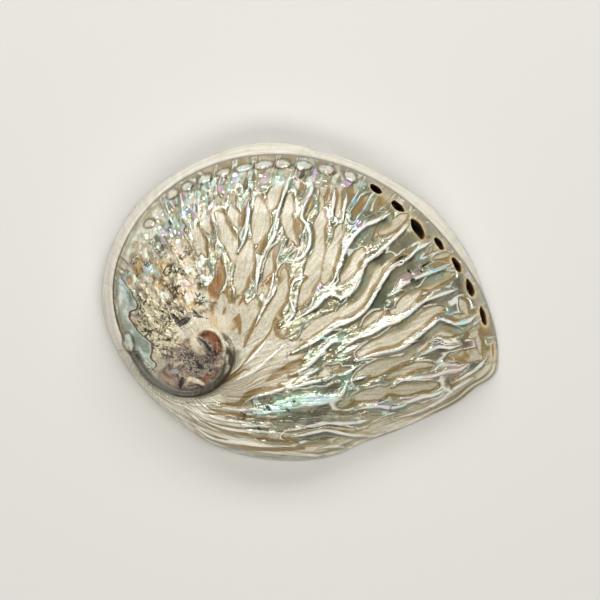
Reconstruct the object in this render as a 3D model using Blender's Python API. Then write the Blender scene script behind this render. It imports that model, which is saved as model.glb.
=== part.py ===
"""Polished abalone shell, a single grown piece that rests on its rim with the outer side up.

+X runs to the growing end of the shell and +Y to the row of holes. The origin is at the
middle of the resting plane. Shapes are worked out in millimetres and scaled at the end.
"""
import math

import bmesh
import bpy
import numpy as np

# Driving dimensions, in millimetres.
SHELL_LENGTH = 158.5
SHELL_HEIGHT = 43.0
WALL = 2.8
RIM_EDGE = 0.8
RIM_FLAT = 1.6
LEDGE_RISE = 1.4
RISER_RUN = 6.0
FOLD_HEIGHT = 1.8
FOLD_BACK = 4.0
FOLD_FRONT = 2.8
FOLD_TAPER = 4.0
FOLD_END_SHARE = 0.35
FOLD_STEPS = 6
HOLE_ROW_RISE = 1.0
HOLE_ROW_WIDTH = 2.2
HOLE_LIP_RISE = 0.7
HOLE_LIP_WIDTH = 3.2
SPIRE_RISE = 3.2
SPIRE_WIDTH = 6.0
METRES_PER_MILLIMETRE = 0.001

# Share of the way out where the relief starts to die away towards the rim.
RELIEF_FADE = 0.93

# How much closer the rings of the sheets lie at the rim than in the middle.
RIM_CROWDING = 0.25

# Cells across the outer and the inner sheet; the outer count is twice the inner.
OUTER_CELLS = 54
INNER_CELLS = 27

# Posts that cut the open holes: sides, rise above the surface, drop below it, lowest level.
CUTTER_SIDES = 14
CUTTER_RISE = 6.0
CUTTER_DROP = 9.0
CUTTER_FLOOR = 1.2

# Middle of the dome and tip of the spire, in plan.
DOME_CENTRE = (-6.0, 3.0)
SPIRE_TIP = (-35.0, -19.4)

# The rim's outline in plan, anticlockwise from the growing end.
RIM_OUTLINE = [
    (79.5, -22.2), (78.4, -11.8), (74.6, 0.6), (68.6, 16.6), (61.8, 27.4), (53.4, 37.4),
    (43.8, 44.6), (33.8, 50.6), (24.6, 55.2), (14.6, 58.6), (7.8, 59.8), (2.2, 62.2),
    (-5.8, 63.4), (-16.6, 63.4), (-27.0, 61.4), (-37.4, 57.8), (-47.4, 53.0), (-57.0, 46.2),
    (-65.8, 37.8), (-72.6, 27.4), (-77.2, 15.8), (-79.0, 3.0), (-77.2, -9.4), (-72.6, -20.6),
    (-65.4, -31.4), (-57.4, -40.2), (-48.6, -47.8), (-39.4, -54.6), (-28.6, -59.4),
    (-17.4, -62.2), (-5.8, -63.4), (4.2, -63.2), (14.2, -61.4), (27.8, -55.6), (39.8, -51.2),
    (52.6, -45.6), (64.2, -39.6), (71.4, -33.8), (76.2, -31.0), (78.6, -28.2),
]

# How the dome falls to the rim, by compass bearing in plan: bearing in degrees, then the
# power that keeps the top flat, then the power that makes the fall steep.
DOME_FALL = [
    (0, 2.2, 0.74), (45, 2.9, 0.60), (90, 3.0, 0.57), (135, 3.2, 0.54),
    (180, 3.4, 0.52), (225, 2.7, 0.64), (270, 2.2, 0.72), (315, 2.0, 0.82),
]

# Width of the flat ledge inside the rim, by bearing: widest at the hidden left end.
LEDGE_WIDTH = [
    (0, 3.0), (35, 3.2), (60, 4.6), (90, 7.0), (130, 9.5), (165, 12.0),
    (190, 13.0), (210, 12.0), (225, 9.0), (240, 5.4), (258, 3.2), (285, 3.0), (330, 3.0),
]

# Groove between the steep side band and the row of holes: it winds out from the spire.
# Clockwise turn about the spire's tip in degrees, then distance from it.
SIDE_GROOVE = [
    (0, 8.8), (45, 10.8), (90, 16.0), (153, 27.6), (180, 32.8), (225, 52.0),
    (270, 73.4), (315, 94.4), (338, 104.8), (350, 111.2), (360, 114.4),
]
SIDE_GROOVE_DEPTH = [(0, 2.0), (60, 2.4), (130, 2.2), (170, 1.5), (320, 1.2), (360, 0.2)]
SIDE_GROOVE_WIDTH = 1.9

# Row of holes on the shoulder, on the same kind of winding line.
HOLE_ROW = [
    (180, 31.0), (213, 39.4), (244, 56.0), (262, 65.6), (280, 74.0), (290, 79.6),
    (302, 85.0), (315.5, 91.4), (329, 95.4), (340, 103.2), (352.6, 109.2), (360, 112.0),
]

# Open holes: place in plan, length, width, bearing of the length, lean towards the hollow.
OPEN_HOLES = [
    (30.2, 44.6, 5.4, 3.2, -39, 0.20),
    (38.8, 37.8, 5.8, 3.4, -42, 0.20),
    (46.8, 29.0, 8.6, 4.3, -62, 0.22),
    (55.4, 23.0, 5.6, 3.3, -52, 0.25),
    (62.4, 14.6, 6.4, 3.2, -58, 0.28),
    (67.8, 5.4, 7.0, 3.8, -66, 0.32),
    (73.2, -5.8, 8.0, 3.6, -72, 0.45),
    (77.4, -19.6, 6.8, 2.2, -86, 1.40),
]

# Holes that the shell has closed again, as low pearly bumps.
CLOSED_HOLES = [
    (20.2, 49.6), (10.6, 52.2), (0.8, 53.8), (-7.8, 55.0), (-15.0, 54.2), (-21.8, 53.2),
    (-44.6, 45.6), (-50.4, 42.6), (-59.4, 31.0), (-67.6, -16.2),
]
CLOSED_HOLE_RISE = 0.8
CLOSED_HOLE_WIDTH = 1.9

# Turns about the spire between which the ridge of the hole row grows in and dies out.
HOLE_ROW_START = (175.0, 215.0)
HOLE_ROW_END = (342.0, 362.0)

# Crests of the wavy growth folds in plan, each from the hole row inwards. The steep face of
# a fold is on its left along that way, which is the growing side.
FOLD_CRESTS = [
    [(35.8, 35.0), (25.8, 30.2), (19.8, 23.8), (16.2, 15.8), (13.0, 7.0)],
    [(43.0, 30.6), (31.0, 19.0), (24.2, 11.4), (19.0, 3.0), (10.2, 2.2), (3.4, -3.8), (-1.0, -6.6)],
    [(52.2, 23.8), (42.2, 17.0), (33.4, 9.4), (28.2, 0.6), (19.8, -7.4), (9.0, -13.4), (-3.0, -20.2)],
    [(59.8, 15.0), (49.8, 11.0), (40.6, 6.6), (35.0, 2.2)],
    [(62.6, 5.0), (53.0, 1.8), (43.8, -3.8), (33.4, -9.4), (23.0, -13.8), (15.0, -19.8)],
    [(70.2, -5.4), (62.2, -8.6), (55.8, -6.6), (47.8, -12.6), (39.0, -18.6), (22.2, -23.8)],
    [(64.2, -17.0), (55.0, -17.8), (44.6, -23.0)],
    [(67.4, -24.6), (59.0, -27.4), (47.0, -30.2), (36.6, -33.8)],
    [(69.4, -30.2), (60.2, -35.8), (51.4, -42.2), (38.2, -46.2)],
    [(58.2, -34.6), (49.0, -37.8), (40.2, -41.4), (32.2, -41.4), (21.8, -43.0)],
    [(36.6, -51.4), (23.4, -53.0), (10.2, -51.4), (-3.8, -53.4)],
    [(16.6, -14.2), (9.0, -19.4), (3.4, -25.0), (-3.8, -29.0)],
    [(13.8, -29.4), (2.6, -32.2), (-7.4, -34.6), (-17.8, -37.4), (-21.8, -39.8)],
    [(18.6, -33.0), (9.0, -39.8), (-7.0, -42.6), (-22.6, -45.0)],
    [(14.2, 44.6), (12.6, 40.2), (13.8, 31.0)],
    [(2.2, 50.2), (5.4, 43.8), (0.6, 36.2), (-0.2, 32.6)],
    [(-3.8, 44.6), (-7.4, 35.8), (-10.6, 25.0), (-15.4, 17.8), (-16.6, 7.4)],
    [(-7.8, 50.2), (-12.2, 43.4), (-13.8, 39.0)],
    [(-19.0, 40.6), (-21.4, 31.0), (-18.6, 23.4)],
    [(-25.4, 50.2), (-26.6, 44.6), (-28.6, 39.0)],
    [(-33.0, 48.6), (-34.2, 42.6), (-33.8, 37.4)],
    [(-47.8, 38.6), (-44.6, 31.8), (-41.4, 26.2)],
    [(-52.6, 29.4), (-49.4, 22.6), (-47.8, 16.2)],
    [(3.8, 23.8), (-1.0, 17.8), (-6.0, 15.4)],
    [(3.4, 12.2), (-1.0, 6.2), (-5.8, 0.2), (-7.4, -8.2)],
    [(-10.6, 5.0), (-14.6, -3.0), (-17.0, -7.4)],
]


def smooth_through(stations, values, at):
    """Cubic through the stations with centred slopes, held at both ends."""
    stations = np.asarray(stations, float)
    values = np.asarray(values, float)
    slopes = np.gradient(values, stations)
    at = np.clip(at, stations[0], stations[-1])
    left = np.clip(np.searchsorted(stations, at, side="right") - 1, 0, len(stations) - 2)
    gap = stations[left + 1] - stations[left]
    t = (at - stations[left]) / gap
    start = (1 + 2 * t) * (1 - t) ** 2 * values[left]
    end = t * t * (3 - 2 * t) * values[left + 1]
    bend = t * (1 - t) ** 2 * gap * slopes[left] - t * t * (1 - t) * gap * slopes[left + 1]
    return start + end + bend


def smooth_round(stations, values, at):
    """The same cubic on a closed turn of 360 degrees."""
    order = np.argsort(stations)
    stations = np.asarray(stations, float)[order]
    values = np.asarray(values, float)[order]
    wide = np.concatenate([stations[-3:] - 360.0, stations, stations[:3] + 360.0])
    high = np.concatenate([values[-3:], values, values[:3]])
    return smooth_through(wide, high, (at - stations[0]) % 360.0 + stations[0])


def soft_step(value):
    """0 below 0, 1 above 1, and an S between."""
    value = np.clip(value, 0.0, 1.0)
    return value * value * (3.0 - 2.0 * value)


def bearing_and_reach(x, y, middle):
    """Bearing in degrees and distance of each point from a middle, in plan."""
    dx = x - middle[0]
    dy = y - middle[1]
    return np.degrees(np.arctan2(dy, dx)), np.hypot(dx, dy)


def rim_reach(bearing):
    """Distance from the dome's centre to the rim."""
    points = np.array(RIM_OUTLINE)
    stations, reaches = bearing_and_reach(points[:, 0], points[:, 1], DOME_CENTRE)
    return smooth_round(stations, reaches, bearing)


def dome_height(bearing, reach):
    """Height of the plain dome: (1 - share^flat)^fall of the full height."""
    table = np.array(DOME_FALL, float)
    flat = smooth_round(table[:, 0], table[:, 1], bearing)
    fall = smooth_round(table[:, 0], table[:, 2], bearing)
    share = np.clip(reach / rim_reach(bearing), 0.0, 1.0)
    return RIM_EDGE + (SHELL_HEIGHT - RIM_EDGE) * (1.0 - share**flat) ** fall


def fold_relief(x, y):
    """Highest of the folds at each point: a long rise behind the crest and a steep front."""
    relief = np.zeros_like(x)
    for crest in FOLD_CRESTS:
        points = np.array(crest)
        steps = np.linalg.norm(np.diff(points, axis=0), axis=1)
        along = np.concatenate([[0.0], np.cumsum(steps)])
        fine = np.linspace(0.0, along[-1], FOLD_STEPS * len(points))
        line_x = smooth_through(along, points[:, 0], fine)
        line_y = smooth_through(along, points[:, 1], fine)
        way_x = np.diff(line_x)
        way_y = np.diff(line_y)
        dx = x[:, None] - line_x[None, :-1]
        dy = y[:, None] - line_y[None, :-1]
        t = np.clip((dx * way_x + dy * way_y) / (way_x**2 + way_y**2), 0.0, 1.0)
        gap = np.hypot(dx - t * way_x, dy - t * way_y)
        nearest = np.argmin(gap, axis=1)
        rows = np.arange(len(x))
        side = np.sign(way_x[nearest] * dy[rows, nearest] - way_y[nearest] * dx[rows, nearest])
        place = fine[nearest] + t[rows, nearest] * (fine[1] - fine[0])
        distance = side * gap[rows, nearest]
        behind = soft_step(1.0 + distance / FOLD_BACK)
        before = soft_step(1.0 - distance / FOLD_FRONT)
        from_start = soft_step(FOLD_END_SHARE + place / FOLD_TAPER)
        from_end = soft_step(FOLD_END_SHARE + (along[-1] - place) / FOLD_TAPER)
        shape = np.where(distance < 0.0, behind, before) * from_start * from_end
        relief = np.maximum(relief, shape)
    return FOLD_HEIGHT * relief


def winding_distance(turn, reach, table):
    """Distance across a line that winds about the spire, for its last whole turn."""
    line = np.array(table, float)
    line_reach = smooth_through(line[:, 0], line[:, 1], turn)
    slope = (smooth_through(line[:, 0], line[:, 1], turn + 1.0) - line_reach) * 180.0 / math.pi
    return (reach - line_reach) / np.sqrt(1.0 + (slope / line_reach) ** 2)


def spiral_relief(x, y):
    """Spire, winding groove, ridge of the hole row, hole lips and closed holes."""
    bearing, reach = bearing_and_reach(x, y, SPIRE_TIP)
    turn = (-bearing) % 360.0
    depths = np.array(SIDE_GROOVE_DEPTH, float)
    groove = np.exp(-((winding_distance(turn, reach, SIDE_GROOVE) / SIDE_GROOVE_WIDTH) ** 2))
    relief = -smooth_through(depths[:, 0], depths[:, 1], turn) * groove
    row = np.exp(-((winding_distance(turn, reach, HOLE_ROW) / HOLE_ROW_WIDTH) ** 2))
    grown = soft_step((turn - HOLE_ROW_START[0]) / (HOLE_ROW_START[1] - HOLE_ROW_START[0]))
    dying = soft_step((HOLE_ROW_END[1] - turn) / (HOLE_ROW_END[1] - HOLE_ROW_END[0]))
    relief += HOLE_ROW_RISE * row * grown * dying
    relief += SPIRE_RISE * np.exp(-((reach / SPIRE_WIDTH) ** 2))
    for hole in OPEN_HOLES[:-1]:
        gap = np.hypot(x - hole[0], y - hole[1])
        relief += HOLE_LIP_RISE * np.exp(-((gap / HOLE_LIP_WIDTH) ** 4))
    for place in CLOSED_HOLES:
        gap = np.hypot(x - place[0], y - place[1])
        relief += CLOSED_HOLE_RISE * np.exp(-((gap / CLOSED_HOLE_WIDTH) ** 2))
    return relief


def plan_point(bearing, reach):
    """Plan position of a bearing and a distance from the dome's centre."""
    angle = np.radians(bearing)
    return DOME_CENTRE[0] + reach * np.cos(angle), DOME_CENTRE[1] + reach * np.sin(angle)


def outer_height(bearing, reach):
    """Outside of the shell: the dome with its folds, which die out at the rim."""
    x, y = plan_point(bearing, reach)
    share = reach / rim_reach(bearing)
    fade = 1.0 - soft_step((share - RELIEF_FADE) / (1.0 - RELIEF_FADE))
    return dome_height(bearing, reach) + fade * (fold_relief(x, y) + spiral_relief(x, y))


def inner_edge(bearing):
    """Distance from the dome's centre to the inner edge of the ledge."""
    table = np.array(LEDGE_WIDTH, float)
    return rim_reach(bearing) - smooth_round(table[:, 0], table[:, 1], bearing)


def inner_height(bearing, reach):
    """Inside of the shell: the dome one wall deeper, rising in a quarter round at the ledge."""
    lowest = np.full_like(reach, np.inf)
    for slide in np.linspace(-WALL, WALL, 13):
        wall = dome_height(bearing, np.abs(reach + slide)) - math.sqrt(max(WALL**2 - slide**2, 0.0))
        lowest = np.minimum(lowest, wall)
    into = np.clip((inner_edge(bearing) - reach) / RISER_RUN, 0.0, 1.0)
    riser = np.sqrt(1.0 - (1.0 - into) ** 2)
    return LEDGE_RISE + (np.maximum(lowest, LEDGE_RISE) - LEDGE_RISE) * riser


def disc_grid(cells):
    """Square grid pressed into a disc, evenly spaced with no pole: bearing and share."""
    line = np.linspace(-1.0, 1.0, cells + 1)
    a, b = np.meshgrid(line, line, indexing="ij")
    a = a.ravel()
    b = b.ravel()
    wide = np.abs(a) > np.abs(b)
    long_side = np.where(wide, a, b)
    short_side = np.where(wide, b, a)
    lean = 45.0 * short_side / np.where(long_side == 0.0, 1.0, long_side)
    bearing = np.where(wide, lean, 90.0 - lean) + np.where(long_side < 0.0, 180.0, 0.0)
    share = np.abs(long_side)
    return bearing, share * (1.0 + RIM_CROWDING - RIM_CROWDING * share**2)


def grid_faces(cells, first, upward):
    """Quads of a disc grid whose numbers start at first."""
    faces = []
    for i in range(cells):
        for j in range(cells):
            a = first + i * (cells + 1) + j
            b = a + cells + 1
            quad = (a, b, b + 1, a + 1)
            faces.append(quad if upward else quad[::-1])
    return faces


def grid_rim(cells, first):
    """Numbers of a disc grid's outer points, anticlockwise from one corner."""
    side = cells + 1
    bottom = [first + i * side for i in range(cells)]
    right = [first + cells * side + j for j in range(cells)]
    top = [first + i * side + cells for i in range(cells, 0, -1)]
    left = [first + j for j in range(cells, 0, -1)]
    return bottom + right + top + left


def build_shell():
    """One closed body: outer sheet, rounded rim, flat foot, ledge and inner sheet."""
    bearing, share = disc_grid(OUTER_CELLS)
    reach = share * rim_reach(bearing)
    x, y = plan_point(bearing, reach)
    points = [np.column_stack([x, y, outer_height(bearing, reach)])]
    faces = grid_faces(OUTER_CELLS, 0, True)
    outer_rim = grid_rim(OUTER_CELLS, 0)
    rim_bearing = bearing[outer_rim]

    foot_first = len(bearing)
    foot_reach = rim_reach(rim_bearing) - RIM_EDGE
    foot_x, foot_y = plan_point(rim_bearing, foot_reach)
    points.append(np.column_stack([foot_x, foot_y, np.zeros_like(foot_x)]))
    ring = len(outer_rim)
    for k in range(ring):
        after = (k + 1) % ring
        faces.append((outer_rim[after], outer_rim[k], foot_first + k, foot_first + after))

    flat_first = foot_first + ring
    half = ring // 2
    flat_bearing = rim_bearing[::2]
    flat_reach = foot_reach[::2] - RIM_FLAT
    flat_x, flat_y = plan_point(flat_bearing, flat_reach)
    points.append(np.column_stack([flat_x, flat_y, np.zeros_like(flat_x)]))
    for k in range(half):
        after = flat_first + (k + 1) % half
        here = flat_first + k
        foot = foot_first + 2 * k
        foot_end = foot_first + (2 * k + 2) % ring
        faces.append((foot, here, foot + 1))
        faces.append((foot + 1, here, after))
        faces.append((foot + 1, after, foot_end))

    inner_first = flat_first + half
    bearing, share = disc_grid(INNER_CELLS)
    reach = share * inner_edge(bearing)
    x, y = plan_point(bearing, reach)
    points.append(np.column_stack([x, y, inner_height(bearing, reach)]))
    faces += grid_faces(INNER_CELLS, inner_first, False)
    inner_rim = grid_rim(INNER_CELLS, inner_first)
    for k in range(half):
        after = (k + 1) % half
        faces.append((flat_first + after, flat_first + k, inner_rim[k], inner_rim[after]))

    return np.concatenate(points), faces


def centred_scale(points):
    """Puts the resting plane's middle at the origin and gives the shell its real length."""
    low = points.min(axis=0)
    high = points.max(axis=0)
    scale = SHELL_LENGTH / (high[0] - low[0]) * METRES_PER_MILLIMETRE
    middle = np.array([(low[0] + high[0]) / 2.0, (low[1] + high[1]) / 2.0, low[2]])
    return middle, scale


def add_object(name, points, faces):
    """Puts a triangulated mesh into the scene under a name."""
    mesh = bpy.data.meshes.new(name)
    mesh.from_pydata([tuple(point) for point in points.tolist()], [], faces)
    shape = bmesh.new()
    shape.from_mesh(mesh)
    bmesh.ops.triangulate(shape, faces=shape.faces[:])
    bmesh.ops.recalc_face_normals(shape, faces=shape.faces[:])
    shape.to_mesh(mesh)
    shape.free()
    item = bpy.data.objects.new(name, mesh)
    bpy.context.collection.objects.link(item)
    return item


def hole_cutter(number, hole, middle, scale):
    """Leaning oval post through the wall, with level ovals so that it reads true in plan."""
    x, y, length, width, turn, lean = hole
    bearing, reach = bearing_and_reach(np.array([x]), np.array([y]), DOME_CENTRE)
    surface = float(dome_height(bearing, reach)[0])
    out = np.radians(float(bearing[0]))
    angles = np.linspace(0.0, 2.0 * math.pi, CUTTER_SIDES, endpoint=False)
    axis = math.radians(turn)
    long_way = 0.5 * length * np.cos(angles)
    short_way = 0.5 * width * np.sin(angles)
    oval_x = long_way * math.cos(axis) - short_way * math.sin(axis)
    oval_y = long_way * math.sin(axis) + short_way * math.cos(axis)
    rings = []
    for rise in (CUTTER_RISE, -CUTTER_DROP):
        rise = max(rise, CUTTER_FLOOR - surface)
        shift = rise * lean
        level = np.full_like(angles, surface + rise)
        rings.append(np.column_stack([
            x + oval_x + shift * math.cos(out),
            y + oval_y + shift * math.sin(out),
            level,
        ]))
    points = (np.concatenate(rings) - middle) * scale
    sides = CUTTER_SIDES
    faces = [tuple(range(sides)), tuple(range(2 * sides - 1, sides - 1, -1))]
    for k in range(sides):
        after = (k + 1) % sides
        faces.append((k, sides + k, sides + after, after))
    cutter = add_object(f"hole_cutter_{number}", points, faces)
    cutter.hide_render = True
    cutter.display_type = "WIRE"
    return cutter


def nacre_material():
    """Polished mother-of-pearl with the beige outer layer left in the hollows."""
    material = bpy.data.materials.new("polished_nacre")
    material.use_nodes = True
    shader = material.node_tree.nodes["Principled BSDF"]
    shader.inputs["Base Color"].default_value = (0.60, 0.53, 0.42, 1.0)
    shader.inputs["Roughness"].default_value = 0.22
    shader.inputs["Metallic"].default_value = 0.0
    return material


def main():
    for item in list(bpy.data.objects):
        bpy.data.objects.remove(item, do_unlink=True)
    points, faces = build_shell()
    middle, scale = centred_scale(points)
    shell = add_object("shell", (points - middle) * scale, faces)
    shell.data.materials.append(nacre_material())
    for number, hole in enumerate(OPEN_HOLES, start=1):
        cut = shell.modifiers.new(f"hole_{number}", "BOOLEAN")
        cut.operation = "DIFFERENCE"
        cut.solver = "EXACT"
        cut.object = hole_cutter(number, hole, middle, scale)
    shell.data.shade_smooth()
    shell.data.set_sharp_from_angle(angle=math.radians(50.0))


main()
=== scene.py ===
import functools
import math

import bpy
import numpy as np
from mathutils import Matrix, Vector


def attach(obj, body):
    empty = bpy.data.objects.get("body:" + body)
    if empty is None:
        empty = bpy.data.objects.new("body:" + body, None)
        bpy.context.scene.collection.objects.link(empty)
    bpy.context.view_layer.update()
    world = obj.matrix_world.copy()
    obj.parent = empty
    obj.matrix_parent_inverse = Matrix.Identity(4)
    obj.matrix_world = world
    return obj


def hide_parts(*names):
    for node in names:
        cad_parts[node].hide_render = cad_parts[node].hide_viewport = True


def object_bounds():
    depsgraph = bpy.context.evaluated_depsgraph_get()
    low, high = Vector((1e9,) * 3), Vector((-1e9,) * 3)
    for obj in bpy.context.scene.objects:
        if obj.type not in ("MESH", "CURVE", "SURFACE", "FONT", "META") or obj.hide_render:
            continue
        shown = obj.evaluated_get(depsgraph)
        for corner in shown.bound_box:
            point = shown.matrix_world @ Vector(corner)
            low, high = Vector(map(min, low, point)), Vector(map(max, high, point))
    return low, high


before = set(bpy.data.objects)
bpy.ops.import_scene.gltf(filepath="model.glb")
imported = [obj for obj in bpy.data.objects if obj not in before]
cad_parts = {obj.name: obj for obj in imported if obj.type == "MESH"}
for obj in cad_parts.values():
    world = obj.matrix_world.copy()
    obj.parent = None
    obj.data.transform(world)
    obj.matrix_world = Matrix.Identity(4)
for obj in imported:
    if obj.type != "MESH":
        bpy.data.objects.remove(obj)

# A polished abalone shell lies dome up on a pale floor, seen from straight above.
# Shapes are worked out in millimetres in the frame's own axes and turned to metres at the end.
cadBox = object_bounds()
cadLow = [float(value) for value in cadBox[0]]
cadHigh = [float(value) for value in cadBox[1]]
millimetre = 0.001
scene = bpy.context.scene

shellForm = {
    "domeHeight": 43.0,
    "domeCentre": (-6.0, 3.0),
    "spireTip": (-35.0, -19.4),
    "wall": 2.8,
    "rimEdge": 0.8,
    "rimFlat": 1.6,
    "ledgeRise": 1.4,
    "riserRun": 6.0,
    "outerCells": 264,
    "innerCells": 132,
    "rimCrowding": 0.25,
    "reliefFade": 0.965,
    "flowRadius": 57.3,
    "flowReach": 30.0,
    "aroundRadius": 60.0,
}

# the rim in plan, anticlockwise from the growing end
rimOutline = [
    (79.5, -22.2), (78.4, -11.8), (74.6, 0.6), (68.6, 16.6), (61.8, 27.4), (53.4, 37.4),
    (43.8, 44.6), (33.8, 50.6), (24.6, 55.2), (14.6, 58.6), (7.8, 59.8), (2.2, 62.2), (-5.8, 63.4),
    (-16.6, 63.4), (-27, 61.4), (-37.4, 57.8), (-47.4, 53), (-57, 46.2), (-65.8, 37.8),
    (-72.6, 27.4), (-77.2, 15.8), (-79, 3), (-77.2, -9.4), (-72.6, -20.6), (-65.4, -31.4),
    (-57.4, -40.2), (-48.6, -47.8), (-39.4, -54.6), (-28.6, -59.4), (-17.4, -62.2), (-5.8, -63.4),
    (4.2, -63.2), (14.2, -61.4), (27.8, -55.6), (39.8, -51.2), (52.6, -45.6), (64.2, -39.6),
    (71.4, -33.8), (76.2, -31), (78.6, -28.2),
]

# bearing in degrees, flatness of the top, steepness of the fall
domeFall = [
    (0, 2.2, 0.74), (45, 2.9, 0.6), (90, 3, 0.57), (135, 3.2, 0.54), (180, 3.4, 0.52),
    (225, 2.7, 0.64), (270, 2.2, 0.72), (315, 2, 0.82),
]

# bearing in degrees, width of the ledge inside the rim
ledgeWidth = [
    (0, 3), (35, 3.2), (60, 4.6), (90, 7), (130, 9.5), (165, 12), (190, 13), (210, 12), (225, 9),
    (240, 5.4), (258, 3.2), (285, 3), (330, 3),
]

# clockwise turn about the spire in degrees, then the distance of the line from the spire
sideGroove = [
    (0, 8.8), (45, 10.8), (90, 16), (153, 27.6), (180, 32.8), (225, 52), (270, 73.4), (315, 94.4),
    (338, 104.8), (350, 111.2), (360, 114.4),
]
grooveDepth = [(0, 1.6), (60, 2.2), (130, 2), (170, 1.3), (320, 1), (360, 0.2)]
grooveWidth = [(0, 1.9), (60, 2.2), (130, 1.9), (170, 1), (320, 0.8), (360, 0.6)]
holeRow = [
    (180, 31), (213, 39.4), (244, 56), (262, 65.6), (280, 74), (290, 79.6), (302, 85),
    (315.5, 91.4), (329, 95.4), (340, 103.2), (352.6, 109.2), (360, 112),
]

# turn, then how far the smooth strip reaches in from the groove, and where its foot lies
stripWidth = [
    (158, -1), (161, 3.4), (163.4, 5.7), (166.9, 7.2), (170.5, 6.5), (174.4, 7.1), (182, 8.8),
    (187, 9.5), (191, 8.6), (194.2, 7), (198, 6.6), (202, 5.4), (205, 6.2), (209, 9), (212.4, 9.9),
    (216.6, 7.6), (219, 3), (222, -1),
]
stripFoot = [(160, 4.4), (168, 3.4), (176, 1.6), (186, 1)]

# turn, then how far the facets reach in from the hole row
facetDepth = [(215, 6), (228, 12), (244, 16), (268, 19), (285, 14), (310, 8), (322, 0)]

# bearing about the spire, then where the folds start and where the dark ring lies
foldStart = [(-90, 24), (-50, 18), (-20, 21), (10, 20), (50, 10), (126, 10)]
ringReach = [(0, 8.8), (30, 8.4), (60, 8), (90, 7.4)]

# bearing about the spire, then how fast the folds turn off the straight way out
foldTwist = [
    (-180, 60), (-135, 85), (-90, 90), (-60, 85), (-45, 70), (-30, 45), (-15, 28), (0, 20),
    (30, 13), (65, 8), (100, 0), (180, 0),
]

# lines of the spire, each a half width and its points: red-brown hollow, cream rim, shard
spireLines = {
    "red": (1.9, [(-38.8, -13.4), (-36.6, -12.9), (-34.4, -14), (-32.7, -16.4), (-32.2, -18.8),
        (-33.2, -21.2)]),
    "cream": (1.8, [(-40.6, -12.6), (-41.7, -14.2), (-41.4, -16.8), (-39.4, -19.4),
        (-37.4, -20.6)]),
    "creamArc": (0.8, [(-41.4, -13), (-39.2, -11.5), (-36, -11), (-33, -12), (-30.6, -15),
        (-29.6, -18.6), (-30, -22)]),
    "shard": (1, [(-45, -32.8), (-43.6, -30.6), (-41, -31.4), (-37.6, -32.8)]),
}

# black cracks and furrows of the spire
darkLines = [
    (0.5, [(-39.4, -14.4), (-37.8, -16), (-36, -18), (-34.8, -20), (-34.2, -22)]),
    (1, [(-50.6, -4.8), (-49, -6.6), (-47.8, -8.8), (-47.2, -9.6)]),
    (1.3, [(-48.6, -9.4), (-46.6, -8.6), (-44.4, -7.2), (-43.2, -6.8)]),
    (0.35, [(-43.8, -6.6), (-41, -5.8), (-38.4, -6.2), (-36, -6.6)]),
    (0.35, [(-43, -2.6), (-41, -4.4), (-38.4, -6.2)]),
    (1, [(-46.2, -29.8), (-46.8, -32), (-47.2, -34.2)]),
    (0.45, [(-43.4, -33.4), (-40.6, -33), (-37.8, -34)]),
]

# single black scratches
scratchLines = [
    (0.5, [(-13, -41), (-12.2, -42.6), (-11, -43.4)]),
    (0.45, [(-12.2, -39.8), (-10.6, -41)]),
    (0.5, [(-8.2, -41.4), (-6.6, -42.6), (-4.6, -42.6), (-3.8, -43.8)]),
    (0.5, [(-23.4, -43.8), (-21.4, -45.4), (-23, -47)]),
    (0.45, [(-17.4, -47.8), (-16.2, -50.2), (-15, -51.8)]),
    (0.55, [(-2.4, -39.2), (-1.7, -39.8)]),
    (0.45, [(-14.4, -42.4), (-13, -43.4)]),
    (0.45, [(4.6, -31), (5.8, -30.6)]),
    (0.45, [(8.6, -30.6), (9.4, -31.4)]),
    (0.5, [(37.4, 15.8), (39, 16.6), (41, 17.8), (43, 18.2)]),
    (0.45, [(38.6, 14.8), (41, 15.8)]),
    (0.5, [(46.6, 11.8), (48.2, 13.4), (50.2, 15), (52.2, 16.2)]),
    (0.45, [(47.2, 12.6), (48.8, 11.6)]),
    (0.65, [(43.6, 8), (45.9, 9.1)]),
    (0.45, [(42.4, 12.8), (43.6, 11.8), (44.8, 10.4)]),
]

# ochre and pale lines that leave the spire
ochreLines = [
    (0.45, [(-33.8, -34.1), (-27.6, -29.7), (-23.4, -26.1), (-20.3, -22.4), (-17.2, -18.3),
        (-13.5, -14.6), (-10.9, -10.5), (-9.9, -6.8)]),
    (0.35, [(-30.7, -32.8), (-24.4, -28.7), (-20.3, -26.9), (-19.2, -27.6)]),
    (1.2, [(-9.4, -6), (-8.8, -9.4), (-8.3, -12.6), (-5.8, -14.8)]),
    (0.8, [(-21.8, -17.8), (-20.8, -14.6), (-18.7, -10.5), (-16.6, -5.8)]),
    (1.3, [(-13, -31.5), (-7.8, -28.2), (-2.6, -25), (2.6, -23.3)]),
    (1, [(-31.4, -40.6), (-23.4, -40.1), (-20.8, -37), (-16.6, -35.2), (-7.8, -33.9)]),
    (0.6, [(-23.9, -5), (-23.4, -13)]),
    (0.7, [(-36, -42.6), (-26, -44.6), (-16, -46.2), (-4, -46.6)]),
    (0.8, [(-40, -47), (-30, -51.4), (-20, -53.2), (-8, -55.4), (6, -56.6)]),
    (0.9, [(-37.8, -54.2), (-28, -57.6), (-14, -58.8), (0, -58.4), (14, -56.6)]),
]
paleLines = [
    (0.5, [(-31.2, -41.7), (-23.4, -43), (-13, -41.2)]),
    (0.6, [(-44, -45), (-36, -48.6), (-26, -51), (-16, -51.6), (-4, -52.6)]),
    (0.7, [(-41.6, -50.2), (-34, -54.8), (-24, -56.2), (-12, -57.6), (4, -58)]),
    (0.5, [(-50, -40), (-40, -44), (-30, -46.8), (-18, -48.4)]),
    (0.6, [(-28, -29), (-22, -24.6), (-16.6, -19.6), (-12.6, -14.4)]),
    (0.5, [(-26, -31.4), (-18, -27.4), (-11, -21.4), (-5.4, -16.4)]),
]

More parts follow.
